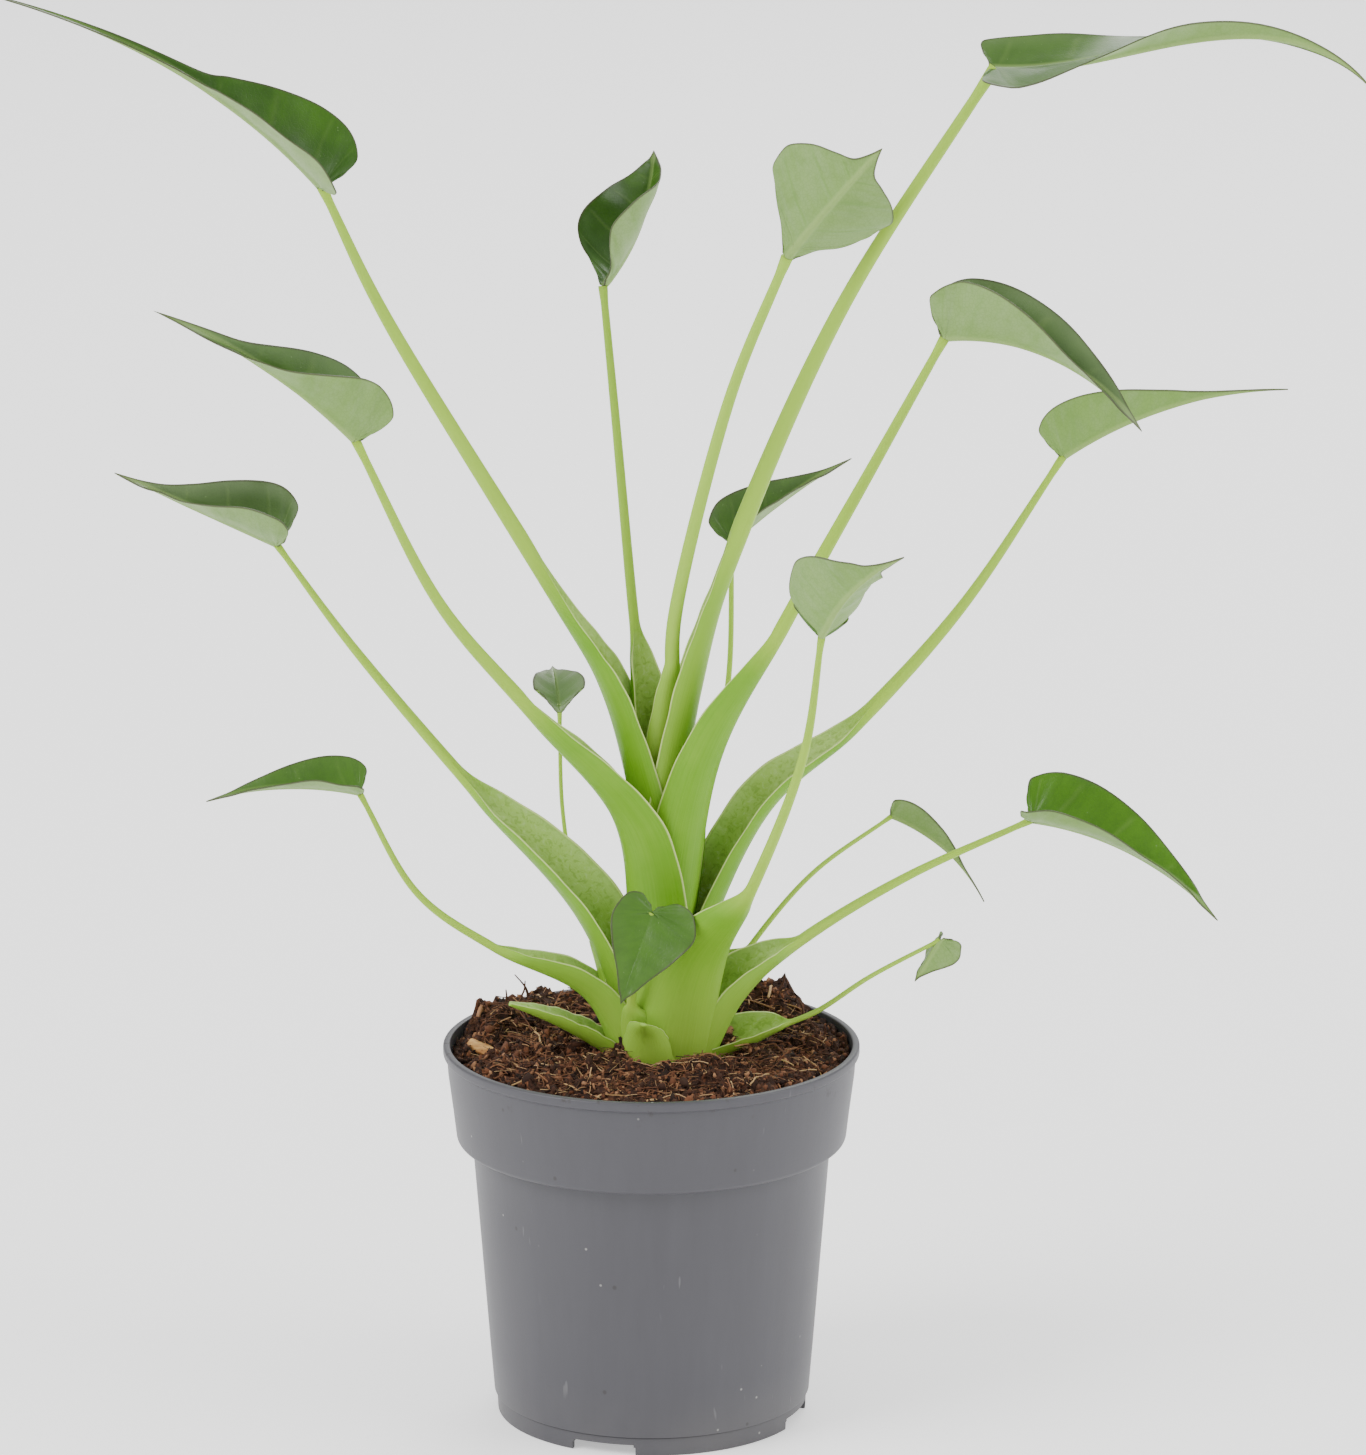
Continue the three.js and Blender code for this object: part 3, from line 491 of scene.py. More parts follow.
def stalk_finish(sizes):
    finish = Finish("stalk", Specular_IOR_Level=0.18, Subsurface_Weight=0.08, Subsurface_Scale=0.003,
                    Subsurface_Radius=(0.6, 1.0, 0.25))
    inside, margin, opened, tone = finish.attributes("inside", "margin", "opened", "tone")
    height = finish.part(finish.place(), "Z")
    streaks = finish.noise(2.4, 4, 0.6, finish.place((26, 2.2, 1), finish.wrap()))
    broad = finish.noise(60, 3, 0.6)
    fine = finish.noise(800, 2, 0.6)
    mottles = finish.noise(520, 3, 0.65, swirl=0.8)

    outer = finish.layered(
        sizes.petiole, (opened, sizes.sheath), (height.between(0.16, 0.1) * 0.65, sizes.foot),
        ((streaks - 0.5) * 0.35 + broad * 0.3, sizes.foot),
        (tone.between(0.5, 1.0) * 0.7, screen(155, 192, 69)),
        (tone.between(0.5, 0.0) * 0.75, screen(90, 133, 28)))
    inner = finish.layered(
        sizes.hollow, (broad.between(0.3, 0.7) * 0.6, screen(134, 170, 60)),
        (mottles.between(0.5, 0.62) * 0.4, screen(96, 132, 36)),
        (mottles.between(0.45, 0.3) * 0.45, screen(186, 206, 140)),
        (margin.between(0.6, 1.0) * 0.4, screen(168, 194, 112)))
    # Over the outside go the inside, a thin painted shadow just within an open sheath's margin, and its pale
    # edge line
    colour = finish.layered(
        outer, (inside * opened, inner), (margin.between(0.9, 0.975) * opened * 0.2, screen(70, 110, 12)),
        (margin.between(0.955, 0.99) * opened * 0.7, sizes.edge))
    rough = 0.4 + fine * 0.14 + inside * 0.1
    relief = streaks * 0.7 + fine * 0.18
    return finish.feed(Base_Color=colour, Roughness=rough.clamped(),
                       Normal=finish.bump(relief, 0.00025, 0.6))


def peat_finish(sizes):
    finish = Finish("peat", Specular_IOR_Level=0.25)
    clods = finish.noise(150, 5, 0.7)
    shreds = finish.noise(260, 4, 0.7, finish.place((1, 0.25, 1)), swirl=1.5)
    grit = finish.cells(900)
    colour = finish.layered(
        screen(38, 23, 16), (clods.between(0.35, 0.7), sizes.peat),
        (shreds.between(0.52, 0.72) * 0.7, sizes.bark), (grit.between(0.18, 0.02) * 0.25, sizes.straw))
    relief = clods + shreds * 0.7 + grit * 0.5
    return finish.feed(Base_Color=colour, Roughness=(0.8 + clods * 0.2).clamped(),
                       Normal=finish.bump(relief, 0.0012, 0.9))


def litter_finish(name, rough, *stops):
    """Loose bits whose colour runs over stops with their own tone"""
    finish = Finish(name, Specular_IOR_Level=0.3)
    tone, = finish.attributes("tone")
    spots = finish.noise(700, 3, 0.6)
    ramp = finish.add("ShaderNodeValToRGB", {"stops": stops}, {"Fac": tone + (spots - 0.5) * 0.18})
    return finish.feed(Base_Color=ramp, Roughness=(spots * 0.2 + rough).clamped(),
                       Normal=finish.bump(spots, 0.0002, 0.7))


def pot_finish(sizes):
    finish = Finish("pot_plastic", Specular_IOR_Level=0.45)
    streaks = finish.noise(170, 4, 0.6, finish.place((1, 1, 0.12)))
    cloud = finish.noise(22, 3, 0.6)
    grain = finish.noise(1500, 2, 0.6)
    height = finish.part(finish.place(), "Z")
    scratched = finish.place((1, 1, 0.16), turn=(0.4, 0.9, 0.3))
    scratches = finish.noise(520, 1, 0.4, scratched).between(0.735, 0.79)
    scratches = scratches * finish.noise(38, 1, 0.5).between(0.5, 0.62)
    specks = finish.cells(120).between(0.06, 0.02) * finish.noise(31, 1, 0.5).between(0.5, 0.6)
    dark = finish.cells(85, vector=finish.place((1, 1.1, 0.9))).between(0.07, 0.03)
    dust = height.between(0.022, 0.0) * cloud.between(0.3, 0.7)
    soiled = height.between(0.098, 0.112) * finish.noise(240, 4, 0.7).between(0.58, 0.75)
    colour = finish.layered(
        sizes.colour, ((streaks - 0.5) * 0.5 + cloud * 0.25, screen(77, 77, 82)),
        (dust * 0.22, screen(105, 102, 98)), (scratches * 0.25, screen(140, 140, 141)),
        (specks * 0.5, screen(176, 174, 168)), (dark * 0.55, screen(42, 38, 36)),
        (soiled * 0.6, screen(50, 40, 33)))
    rough = 0.4 + cloud * 0.08 + grain * 0.06 + soiled * 0.3 + scratches * 0.15
    relief = grain * 0.25 + streaks * 0.3 + scratches * 0.6
    return finish.feed(Base_Color=colour, Roughness=rough.clamped(),
                       Normal=finish.bump(relief, 0.00012, 0.6))


def chip_finish():
    finish = Finish("wood_chip", Specular_IOR_Level=0.3)
    grain = finish.noise(300, 4, 0.6, finish.place((0.35, 1, 1)), swirl=0.4)
    colour = finish.mix(grain.between(0.35, 0.7), screen(150, 96, 48), screen(218, 176, 112))
    return finish.feed(Base_Color=colour, Roughness=(0.65 + grain * 0.2).clamped(),
                       Normal=finish.bump(grain, 0.0004, 0.8))


# Meshes
def bare_piece(name, points, faces):
    """A mesh object from millimetre points that are counted from the pot's axis"""
    mesh = bpy.data.meshes.new(name)
    mesh.from_pydata((np.asarray(points) * MM + POT_AXIS).tolist(), [], faces)
    piece = bpy.data.objects.new(name, mesh)
    bpy.context.scene.collection.objects.link(piece)
    return piece


def new_piece(name, points, faces, material, attributes=None, wrap=None):
    """A smooth, closed piece; attributes and wrap hold a value a point"""
    piece = bare_piece(name, points, faces)
    mesh = piece.data
    for key, values in (attributes or {}).items():
        layer = mesh.attributes.new(key, "FLOAT", "POINT")
        layer.data.foreach_set("value", np.asarray(values, np.float32).ravel())
    if wrap is not None:
        corners = np.empty(len(mesh.loops), int)
        mesh.loops.foreach_get("vertex_index", corners)
        layer = mesh.uv_layers.new(name="wrap")
        layer.data.foreach_set("uv", np.asarray(wrap, np.float32)[corners].ravel())
    mesh.polygons.foreach_set("use_smooth", [True] * len(mesh.polygons))
    mesh.materials.append(material)
    turn_outwards(mesh)
    return piece


def turn_outwards(mesh):
    body = bmesh.new()
    body.from_mesh(mesh)
    if body.calc_volume(signed=True) < 0:
        bmesh.ops.reverse_faces(body, faces=body.faces)
    body.to_mesh(mesh)
    body.free()


def hand_over(piece, slot, *nodes):
    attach(piece, "root")
    if nodes:
        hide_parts(*nodes)


def apply_modifiers(piece):
    """The piece's mesh as its modifiers leave it, with the modifiers gone"""
    depsgraph = bpy.context.evaluated_depsgraph_get()
    made = bpy.data.meshes.new_from_object(piece.evaluated_get(depsgraph))
    piece.modifiers.clear()
    piece.data = made
    return piece


# Stalks
def stalk_line(leaf, shares):
    """The centreline at some shares of it, the way across it and the way to the opening"""
    azimuth = math.radians(leaf["azimuth"])
    outward = np.array([math.cos(azimuth), math.sin(azimuth), 0.0])
    side = np.array([-outward[1], outward[0], 0.0])
    path = np.array(leaf["path"], float)
    swing = leaf["bow"] * np.linspace(0, 1, len(path)) ** 2
    points = STEM_AXIS + path[:, :1] * outward + path[:, 1:] * UP + swing[:, None] * side
    nearby = 1e-4
    tangent = unit(spline(points, shares + nearby) - spline(points, shares - nearby))
    inward = unit(np.cross(tangent, side))
    turn = math.radians(leaf["turn"]) * smoothstep(shares / leaf["sheath"], 0, TURN_END)[:, None]
    inward = inward * np.cos(turn) + np.cross(tangent, inward) * np.sin(turn)
    return spline(points, shares), np.cross(inward, tangent), inward


def stalk_grid(leaf, shares, sides, sizes):
    """Rings of points around a stalk, with how inner, how near a margin and how open each is"""
    turn = -np.cos(np.pi * np.arange(sides + 1) / sides)
    fraction = np.concatenate([turn, turn[sides - 1:0:-1]])
    inner = np.arange(2 * sides) > sides
    u = np.minimum(shares / leaf["sheath"], 1)[:, None]
    beyond = np.clip((shares - leaf["sheath"]) / max(1 - leaf["sheath"], 1e-6), 0, 1)[:, None]
    thick = lerp(leaf["petiole"][0], leaf["petiole"][1], beyond)
    whole = leaf["sheath"] == 1
    closing = np.zeros_like(u) if whole else smoothstep(u, CLOSING_START, 1)
    if not whole:
        thick = thick * (1 + sizes.flare * smoothstep(shares, 0.965, 1)[:, None])
    radius = lerp(leaf["hug"][0], thick, u ** leaf["taper"])
    half = np.radians(lerp(leaf["hug"][1], SHEATH_OPENING, u) + CLOSED_WRAP * closing)
    middle = lerp(SHEATH_WALL, thick * 2, u ** 1.5)
    back = lerp(middle / 2, thick, closing)
    quarter = fraction * np.pi / 2
    margin = sizes.margin / MM
    depth = np.where(inner, margin + (middle - margin) * np.cos(quarter), 0)
    near = np.maximum(radius - depth, 0.02 * radius)
    wave = np.sin(shares * 37 + leaf["azimuth"]) + 0.5 * np.sin(shares * 83)
    ripple = sizes.ripple / MM * wave[:, None] * np.abs(fraction) ** 8 * (1 - closing) * np.sin(np.pi * u)
    around = np.where(inner, np.pi - fraction * (np.pi - half), fraction * half)
    across = lerp(near * np.sin(fraction * half), thick * np.sin(around), closing)
    inwards = lerp(radius - near * np.cos(fraction * half), thick - thick * np.cos(around), closing)
    inwards = inwards - back + ripple
    centre, sideways, towards = stalk_line(leaf, shares)
    points = centre[:, None] + across[..., None] * sideways[:, None] + inwards[..., None] * towards[:, None]
    full = np.ones_like(across)
    return points, inner * full, np.abs(fraction) * full, (1 - closing) * full, fraction * full


def ring_faces(rows, ring, sides):
    """Faces of a tube of rings, closed at both ends by ladders between its outer and inner face"""
    faces = []
    for i in range(rows - 1):
        for k in range(ring):
            a, b = i * ring + k, i * ring + (k + 1) % ring
            faces.append((a, b, b + ring, a + ring))
    end = (rows - 1) * ring
    for k in range(sides):
        corners = list(dict.fromkeys((k, k + 1, (ring - k - 1) % ring, (ring - k) % ring)))
        faces.append(tuple(reversed(corners)))
        faces.append(tuple(end + corner for corner in corners))
    return faces


def build_stalk(name, leaf, tone, material, sizes):
    sheath = leaf["sheath"]
    shares = np.linspace(0, sheath, SHEATH_ROWS)
    if sheath < 1:
        shares = np.concatenate([shares, np.linspace(sheath, 1, PETIOLE_ROWS)[1:]])
    sides = THIN_STALK_SIDES if leaf["petiole"][0] < THIN_STALK else STALK_SIDES
    points, inner, margin, opened, fraction = stalk_grid(leaf, shares, sides, sizes)
    rows, ring = inner.shape
    wrap = np.stack([fraction * 0.5 + 0.5, np.repeat(shares[:, None], ring, axis=1)], axis=-1)
    return new_piece(name, points.reshape(-1, 3), ring_faces(rows, ring, sides), material,
                     {"inside": inner, "margin": margin, "opened": opened,
                      "tone": np.full(rows * ring, tone)}, wrap.reshape(-1, 2))


# Blades
def blade_outline(blade):
    """The edge of a half as (along the midrib, out from it), from the stalk to the tip"""
    body, drip, width, belly = blade["body"], blade["drip"], blade["width"], blade["belly"]
    lobe = blade["lobe"] * width
    low, middle, high = SLOPED_BASE if lobe < 0 else LOBED_BASE
    return [
        (-0.15 * max(lobe, 0), 0.08 * width),
        (-low * lobe, 0.2 * width),
        (-middle * lobe, 0.45 * width),
        (-high * lobe, 0.8 * width),
        ((0.1 + belly) * body, width),
        ((0.3 + belly) * body, 0.97 * width),
        ((0.55 + 0.8 * belly) * body, 0.72 * width),
        ((0.8 + 0.4 * belly) * body, 0.4 * width),
        (body, 0.19 * width),
        (body + 0.45 * drip, 0.08 * width),
        (body + drip, 0),
    ]


def midrib_frames(blade, junction, share):
    """Where the midrib is at each share of its length, with its own three directions"""
    def directions(q):
        pitch = np.radians(blade["pitch"][0] + blade["pitch"][1] * q + blade["pitch"][2] * q * q)
        heading = np.radians(blade["heading"] + blade["sweep"] * q)
        tangent = np.stack([np.cos(heading) * np.cos(pitch), np.sin(heading) * np.cos(pitch),
                            np.sin(pitch)], axis=-1)
        return tangent, np.stack([-np.sin(heading), np.cos(heading), 0 * heading], axis=-1)

    middles = (np.arange(MIDRIB_STEPS) + 0.5) / MIDRIB_STEPS
    travel = np.vstack([np.zeros(3), np.cumsum(directions(middles)[0], axis=0)])
    travel *= (blade["body"] + blade["drip"]) / MIDRIB_STEPS
    point = junction + np.stack([np.interp(share, np.linspace(0, 1, MIDRIB_STEPS + 1), travel[:, axis])
                                 for axis in range(3)], axis=-1)
    tangent, side = directions(share)
    roll = np.radians(blade["roll"][0] + blade["roll"][1] * share)[:, None]
    level = np.cross(tangent, side)
    return (point, tangent, side * np.cos(roll) + level * np.sin(roll),
            level * np.cos(roll) - side * np.sin(roll))


def grid_normals(points, towards):
    """Normals of a grid of points, on the side that towards points to"""
    rows, columns = points.shape[:2]
    face = np.cross(points[1:, 1:] - points[:-1, :-1], points[:-1, 1:] - points[1:, :-1])
    total = np.zeros_like(points)
    for i, j in ((0, 0), (0, 1), (1, 0), (1, 1)):
        total[i:rows - 1 + i, j:columns - 1 + j] += face
    normals = unit(total)
    return normals if np.sum(normals * towards) > 0 else -normals


def blade_sheet(leaf, rows, columns, sizes):
    """The middle surface of a blade: its points, normals, and each point's place on it"""
    blade = leaf["blade"]
    t = np.linspace(0, 0.998, rows)
    edge = spline(blade_outline(blade), t)
    half = (1 - np.cos(np.pi * np.arange(columns + 1) / columns)) / 2
    v = np.concatenate([-half[:0:-1], half])
    spread = np.abs(v)
    sign = np.sign(v)
    reach = edge[:, 1:] * np.where(v < 0, blade["uneven"], 1)
    whole = blade["body"] + blade["drip"]
    foot = np.clip(edge[:, 0] - blade["slant"] * edge[:, 1], 0, whole)
    share = foot / whole
    fold = np.radians(lerp(blade["fold"][0], blade["fold"][1], share))[:, None]
    fold = fold * smoothstep(reach, 0, FLAT_REACH)
    bend = np.radians(lerp(blade["curl"][0], blade["curl"][1], share))[:, None] / blade["width"]
    rib = reach * spread
    across = (np.sin(fold + bend * rib) - np.sin(fold)) / bend
    rise = (np.cos(fold) - np.cos(fold + bend * rib)) / bend
    crease = 0.35 * np.sin(fold) * np.exp(-(rib / 0.7) ** 2)
    forward = (edge[:, :1] - foot[:, None]) * spread
    lobe_bend = math.radians(blade["lift"]) / (0.33 * blade["width"])
    behind = np.maximum(-forward, 0)
    along = np.where(forward < 0, -np.sin(lobe_bend * behind) / lobe_bend, forward)
    lobe_rise = (1 - np.cos(lobe_bend * behind)) / lobe_bend
    point, tangent, sideways, up = midrib_frames(blade, stalk_line(leaf, np.array([1.0]))[0][0], share)
    points = (point[:, None] + along[..., None] * tangent[:, None]
              + (sign * across)[..., None] * sideways[:, None]
              + (rise + lobe_rise + crease)[..., None] * up[:, None])
    normals = grid_normals(points, up[:, None])
    phase = leaf["azimuth"] * 0.7
    bulge = sizes.quilting / MM * np.sin(np.pi * sizes.vein_pairs * t[:, None]) ** 2
    bulge = bulge * smoothstep(rib, 0.3, 3) * (1 - smoothstep(spread, 0.8, 1))
    wave = np.sin(t * 23 + phase)[:, None] * (1 + 0.5 * sign) + 0.6 * np.sin(t * 41 - phase)[:, None]
    wave = sizes.undulation / MM * wave * spread ** 3 * smoothstep(reach, 1, 8)
    points = points + (bulge + wave)[..., None] * normals
    return points, grid_normals(points, normals), rib, reach * (1 - spread), share, t, v


def shell_faces(rows, columns):
    """A sheet's upper and lower faces and the rim that joins them"""
    count = rows * columns
    grid = np.arange(count).reshape(rows, columns)
    upper = np.stack([grid[:-1, :-1], grid[:-1, 1:], grid[1:, 1:], grid[1:, :-1]], axis=-1).reshape(-1, 4)
    lower = upper[:, ::-1] + count
    loop = np.concatenate([grid[0, :-1], grid[:-1, -1], grid[-1, :0:-1], grid[:0:-1, 0]])
    after = np.roll(loop, -1)
    rim = np.stack([loop, loop + count, after + count, after], axis=-1)
    return np.concatenate([upper, lower, rim]).tolist()


def build_blade(name, leaf, look, material, sizes):
    """A blade with two faces, a rim, and a midrib that stands out below and sinks in above"""
    grid = SMALL_BLADE_GRID if leaf["blade"]["width"] < SMALL_BLADE else BLADE_GRID
    points, normals, rib, edge, share, t, v = blade_sheet(leaf, *grid, sizes)
    rib_radius = leaf["petiole"][1] * sizes.midrib
    fading = (1 - share[:, None]) ** 0.8
    width = np.maximum(rib_radius * fading, 0.35)
    ridge = rib_radius * 1.1 * fading * np.exp(-(rib / width) ** 2)
    half = lerp(sizes.edge_thickness, sizes.thickness, smoothstep(edge, 0, 6)) / MM / 2
    groove = 0.25 * rib_radius * fading * np.exp(-(rib / (width * 0.7)) ** 2)
    upper = points + normals * (half - groove * 0.6)[..., None]
    lower = points - normals * (half + ridge)[..., None]
    both = np.concatenate([upper.reshape(-1, 3), lower.reshape(-1, 3)])
    count = rib.size
    wrap = np.stack(np.broadcast_arrays(t[:, None], v * 0.5 + 0.5), axis=-1).reshape(-1, 2)
    return new_piece(name, both, shell_faces(*rib.shape), material, {
        "under": np.repeat([0.0, 1.0], count),
        "rib": np.tile(rib.ravel(), 2), "edge": np.tile(edge.ravel(), 2),
        **{key: np.full(2 * count, value) for key, value in look.items()}}, np.concatenate([wrap, wrap]))


# Pot
def pot_profile(s):
    """The pot's section as (radius, height) in millimetres, with rounded corners where plastic has them"""
    height, rim, lip, overhang, band, bottom, top, foot, skirt, skirt_top, wall, floor, underside = (
        value / MM for value in (
            s.height, s.rim_radius, s.lip_height, s.lip_overhang, s.band_radius, s.band_bottom,
            s.body_top_radius, s.body_bottom_radius, s.skirt_radius, s.skirt_height, s.wall, s.floor_top,
            s.floor_underside))
    under_lip = rim - overhang
    slope = (under_lip - band) / (height - bottom)

    def corner(x, y, radius, start, end, steps=5):
        turn = np.radians(np.linspace(start, end, steps))
        return [(x + radius * math.cos(a), y + radius * math.sin(a)) for a in turn]

    outside = [(skirt - 0.3, 0)]
    outside += corner(skirt - 0.3, 0.3, 0.3, -60, 0, 3)
    outside += [(skirt + 0.2, skirt_top - 0.5)]
    outside += corner(skirt - 0.15, skirt_top - 0.35, 0.35, 0, 60, 3)
    outside += [(foot - 0.25, skirt_top + 0.15), (foot, skirt_top + 0.7)]
    for share in (0.2, 0.4, 0.6, 0.8):
        outside.append((lerp(foot, top, share), lerp(skirt_top, bottom - 1, share)))
    outside += [(top - 0.05, bottom - 1.6), (top + 0.1, bottom - 0.9), (top + 0.5, bottom - 0.45)]
    outside += corner(band - 1.8, bottom + 1.4, 1.8, -75, -8, 6)
    for share in (0.25, 0.5, 0.75):
        outside.append((band + slope * (height - bottom) * share, lerp(bottom + 2, height - lip, share)))
    outside += [(under_lip - slope * lip - 0.05, height - lip - 0.5)]
    outside += corner(rim - 0.45, height - lip + 0.55, 0.45, -70, 0, 4)
    outside += corner(rim - 0.7, height - 0.7, 0.7, 0, 90, 6)
    inner_top = under_lip - wall
    outside += corner(inner_top + 0.4, height - 0.5, 0.5, 90, 170, 4)
    outside += [(inner_top - 0.2, height - 3), (band - wall - 0.2, bottom + 1.5)]
    outside += [(top - wall, bottom - 2), (foot - wall, floor + 1.2), (foot - wall - 1.2, floor)]
    outside += [(DRAIN_RING + 8, floor), (DRAIN_RING - 8, floor), (4, floor), (0, floor)]
    outside += [(0, underside), (4, underside), (DRAIN_RING - 8, underside), (DRAIN_RING + 8, underside)]
    outside += [(skirt - wall - 0.4, underside), (skirt - wall - 0.5, 0.2), (skirt - wall - 0.3, 0)]
    return outside


def lathe(profile, segments):
    """Points and faces of a profile turned about Z; profile points at radius 0 become one point"""
    points, rings = [], []
    for radius, height in profile:
        if radius == 0:
            rings.append([len(points)] * segments)
            points.append((0, 0, height))
            continue
        rings.append(list(range(len(points), len(points) + segments)))
        for k in range(segments):
            angle = 2 * math.pi * k / segments
            points.append((radius * math.cos(angle), radius * math.sin(angle), height))
    faces = []
    for lower, upper in zip(rings, rings[1:] + rings[:1]):
        for k in range(segments):
            after = (k + 1) % segments
            corners = tuple(dict.fromkeys((lower[k], lower[after], upper[after], upper[k])))
            if len(corners) > 2:
                faces.append(corners)
    return points, faces


def prism(corners, low, high):
    """A closed prism over corners, as points and faces"""
    count = len(corners)
    points = [(x, y, low) for x, y in corners] + [(x, y, high) for x, y in corners]
    faces = [tuple(reversed(range(count))), tuple(range(count, 2 * count))]
    faces += [(k, (k + 1) % count, count + (k + 1) % count, count + k) for k in range(count)]
    return points, faces


def pot_cutters(s):
    """Notch blocks for the foot ring and drain holes for the floor, in one mesh"""
    points, faces = [], []

    def put(more_points, more_faces):
        start = len(points)
        points.extend(more_points)
        faces.extend(tuple(start + corner for corner in face) for face in more_faces)

    radius, half, tall = s.skirt_radius / MM, s.notch_width / MM / 2, s.notch_height / MM
    for i in range(s.notches):
        angle = s.notch_angle + 2 * math.pi * i / s.notches
        out, side = (math.cos(angle), math.sin(angle)), (-math.sin(angle), math.cos(angle))
        # The notch is a little narrower at its top
        for low, high, narrow in ((-2, tall - 0.8, 0), (tall - 0.9, tall, 0.5)):
            corners = [(out[0] * (radius + a) + side[0] * b, out[1] * (radius + a) + side[1] * b)
                       for a, b in ((-6, -half + narrow), (6, -half + narrow),
                                    (6, half - narrow), (-6, half - narrow))]
            put(*prism(corners, low, high))
    for i in range(s.drains):
        angle = 2 * math.pi * i / s.drains
        middle = (DRAIN_RING * math.cos(angle), DRAIN_RING * math.sin(angle))
        ring = [(middle[0] + DRAIN_RADIUS * math.cos(a), middle[1] + DRAIN_RADIUS * math.sin(a))
                for a in np.linspace(0, 2 * math.pi, 24, endpoint=False)]
        put(*prism(ring, 3, 9))
    return points, faces


# Peat
def peat_height(x, y, s, rim):
    """Height of the peat's lumpy top at a place inside the rim, in millimetres"""
    share = min(math.hypot(x, y) / rim, 1)
    base = s.edge_height / MM + s.mound / MM * (1 - share * share)
    base += 0.9 * (math.sin(0.21 * x + 1.3) * math.cos(0.17 * y + 0.4)
                   + 0.6 * math.sin(0.11 * x - 0.26 * y))
    base += 3.5 * smoothstep(y, 8, 48)
    for across, back, rise, width in PEAT_MOUNDS:
        base += rise * math.exp(-((x - across) ** 2 + (y - back) ** 2) / width ** 2)
    coarse = noise.noise(Vector((x, y, 3.0)) / 9)
    middling = noise.turbulence(Vector((x, y, 11.0)) / 4.2, 3, False)
    fine = noise.noise(Vector((x, y, 29.0)) / 1.1)
    return base + s.lumps / MM * (0.8 * coarse + middling + 0.3 * fine)


def peat_top(s, rim, radius, rings, segments):
    """The peat's top as far out as radius: rings of points and the faces between them"""
    points, faces = [(0, 0, peat_height(0, 0, s, rim))], []
    for i in range(1, rings + 1):
        for k in range(segments):
            angle = 2 * math.pi * (k + 0.5 * (i % 2)) / segments
            x, y = radius * i / rings * math.cos(angle), radius * i / rings * math.sin(angle)
            points.append((x, y, peat_height(x, y, s, rim)))
    for k in range(segments):
        after = (k + 1) % segments
        faces.append((0, 1 + k, 1 + after))
        for i in range(1, rings):
            inner, outer = 1 + (i - 1) * segments, 1 + i * segments
            faces.append((inner + k, outer + k, outer + after, inner + after))
    return points, faces


# Node trees for what repeats
class Tree:
    """A Geometry Nodes tree with named inputs"""

    def __init__(self, name, inputs):
        self.tree = bpy.data.node_groups.new(name, "GeometryNodeTree")
        face = self.tree.interface
        face.new_socket("Geometry", in_out="INPUT", socket_type="NodeSocketGeometry")
        self.identifiers = {}
        for key, kind in inputs.items():
            self.identifiers[key] = face.new_socket(key, in_out="INPUT", socket_type=kind).identifier
        face.new_socket("Geometry", in_out="OUTPUT", socket_type="NodeSocketGeometry")
        self.group_in = self.tree.nodes.new("NodeGroupInput")
        self.group_out = self.tree.nodes.new("NodeGroupOutput")

    def given(self, key):
        return self.group_in.outputs[key]

    def add(self, kind, settings=None, values=None, output=0):
        node = self.tree.nodes.new(kind)
        for key, setting in (settings or {}).items():
            setattr(node, key, setting)
        for key, value in (values or {}).items():
            if isinstance(value, bpy.types.NodeSocket):
                self.tree.links.new(value, node.inputs[key])
            else:
                node.inputs[key].default_value = value
        return node.outputs[output]

    def random(self, kind, low, high, seed):
        slots = {"FLOAT": (2, 3, 1), "FLOAT_VECTOR": (0, 1, 0)}[kind]
        return self.add("FunctionNodeRandomValue", {"data_type": kind},
                        {slots[0]: low, slots[1]: high, "Seed": seed}, slots[2])

    def scatter(self, instance, turn_low, turn_high, size_low, size_high, stir, stir_size):
        """Instances strewn on the surface, each with its own tone, then made real and stirred"""
        seed = self.given("Seed")
        strewn = self.add("GeometryNodeDistributePointsOnFaces", values={
            "Mesh": self.given("Geometry"), "Density": self.given("Density"), "Seed": seed})
        placed = self.add("GeometryNodeInstanceOnPoints", values={
            "Points": strewn, "Instance": instance,
            "Rotation": self.random("FLOAT_VECTOR", turn_low, turn_high, seed),
            "Scale": self.random("FLOAT_VECTOR", size_low, size_high, seed)})
        toned = self.add("GeometryNodeStoreNamedAttribute",
                         {"data_type": "FLOAT", "domain": "INSTANCE"},
                         {"Geometry": placed, "Name": "tone",
                          "Value": self.random("FLOAT", 0.0, 1.0, seed)})
        real = self.add("GeometryNodeRealizeInstances", values={"Geometry": toned})
        cloud = self.add("ShaderNodeTexNoise", values={"Scale": stir_size, "Detail": 2.0}, output="Color")
        centred = self.add("ShaderNodeVectorMath", {"operation": "SUBTRACT"},
                           {0: cloud, 1: (0.5, 0.5, 0.5)})
        offset = self.add("ShaderNodeVectorMath", {"operation": "MULTIPLY"}, {0: centred, 1: stir})
        stirred = self.add("GeometryNodeSetPosition", values={"Geometry": real, "Offset": offset})
        smooth = self.add("GeometryNodeSetShadeSmooth", values={"Geometry": stirred})
        done = self.add("GeometryNodeSetMaterial", values={
            "Geometry": smooth, "Material": self.given("Material")})
        self.tree.links.new(done, self.group_out.inputs[0])

    def put_on(self, piece, **values):
        modifier = piece.modifiers.new(self.tree.name, "NODES")
        modifier.node_group = self.tree
        for key, value in values.items():
            modifier[self.identifiers[key.replace("_", " ")]] = value


LITTER_INPUTS = {"Density": "NodeSocketFloat", "Length": "NodeSocketFloat", "Radius": "NodeSocketFloat",
                 "Seed": "NodeSocketInt", "Material": "NodeSocketMaterial"}


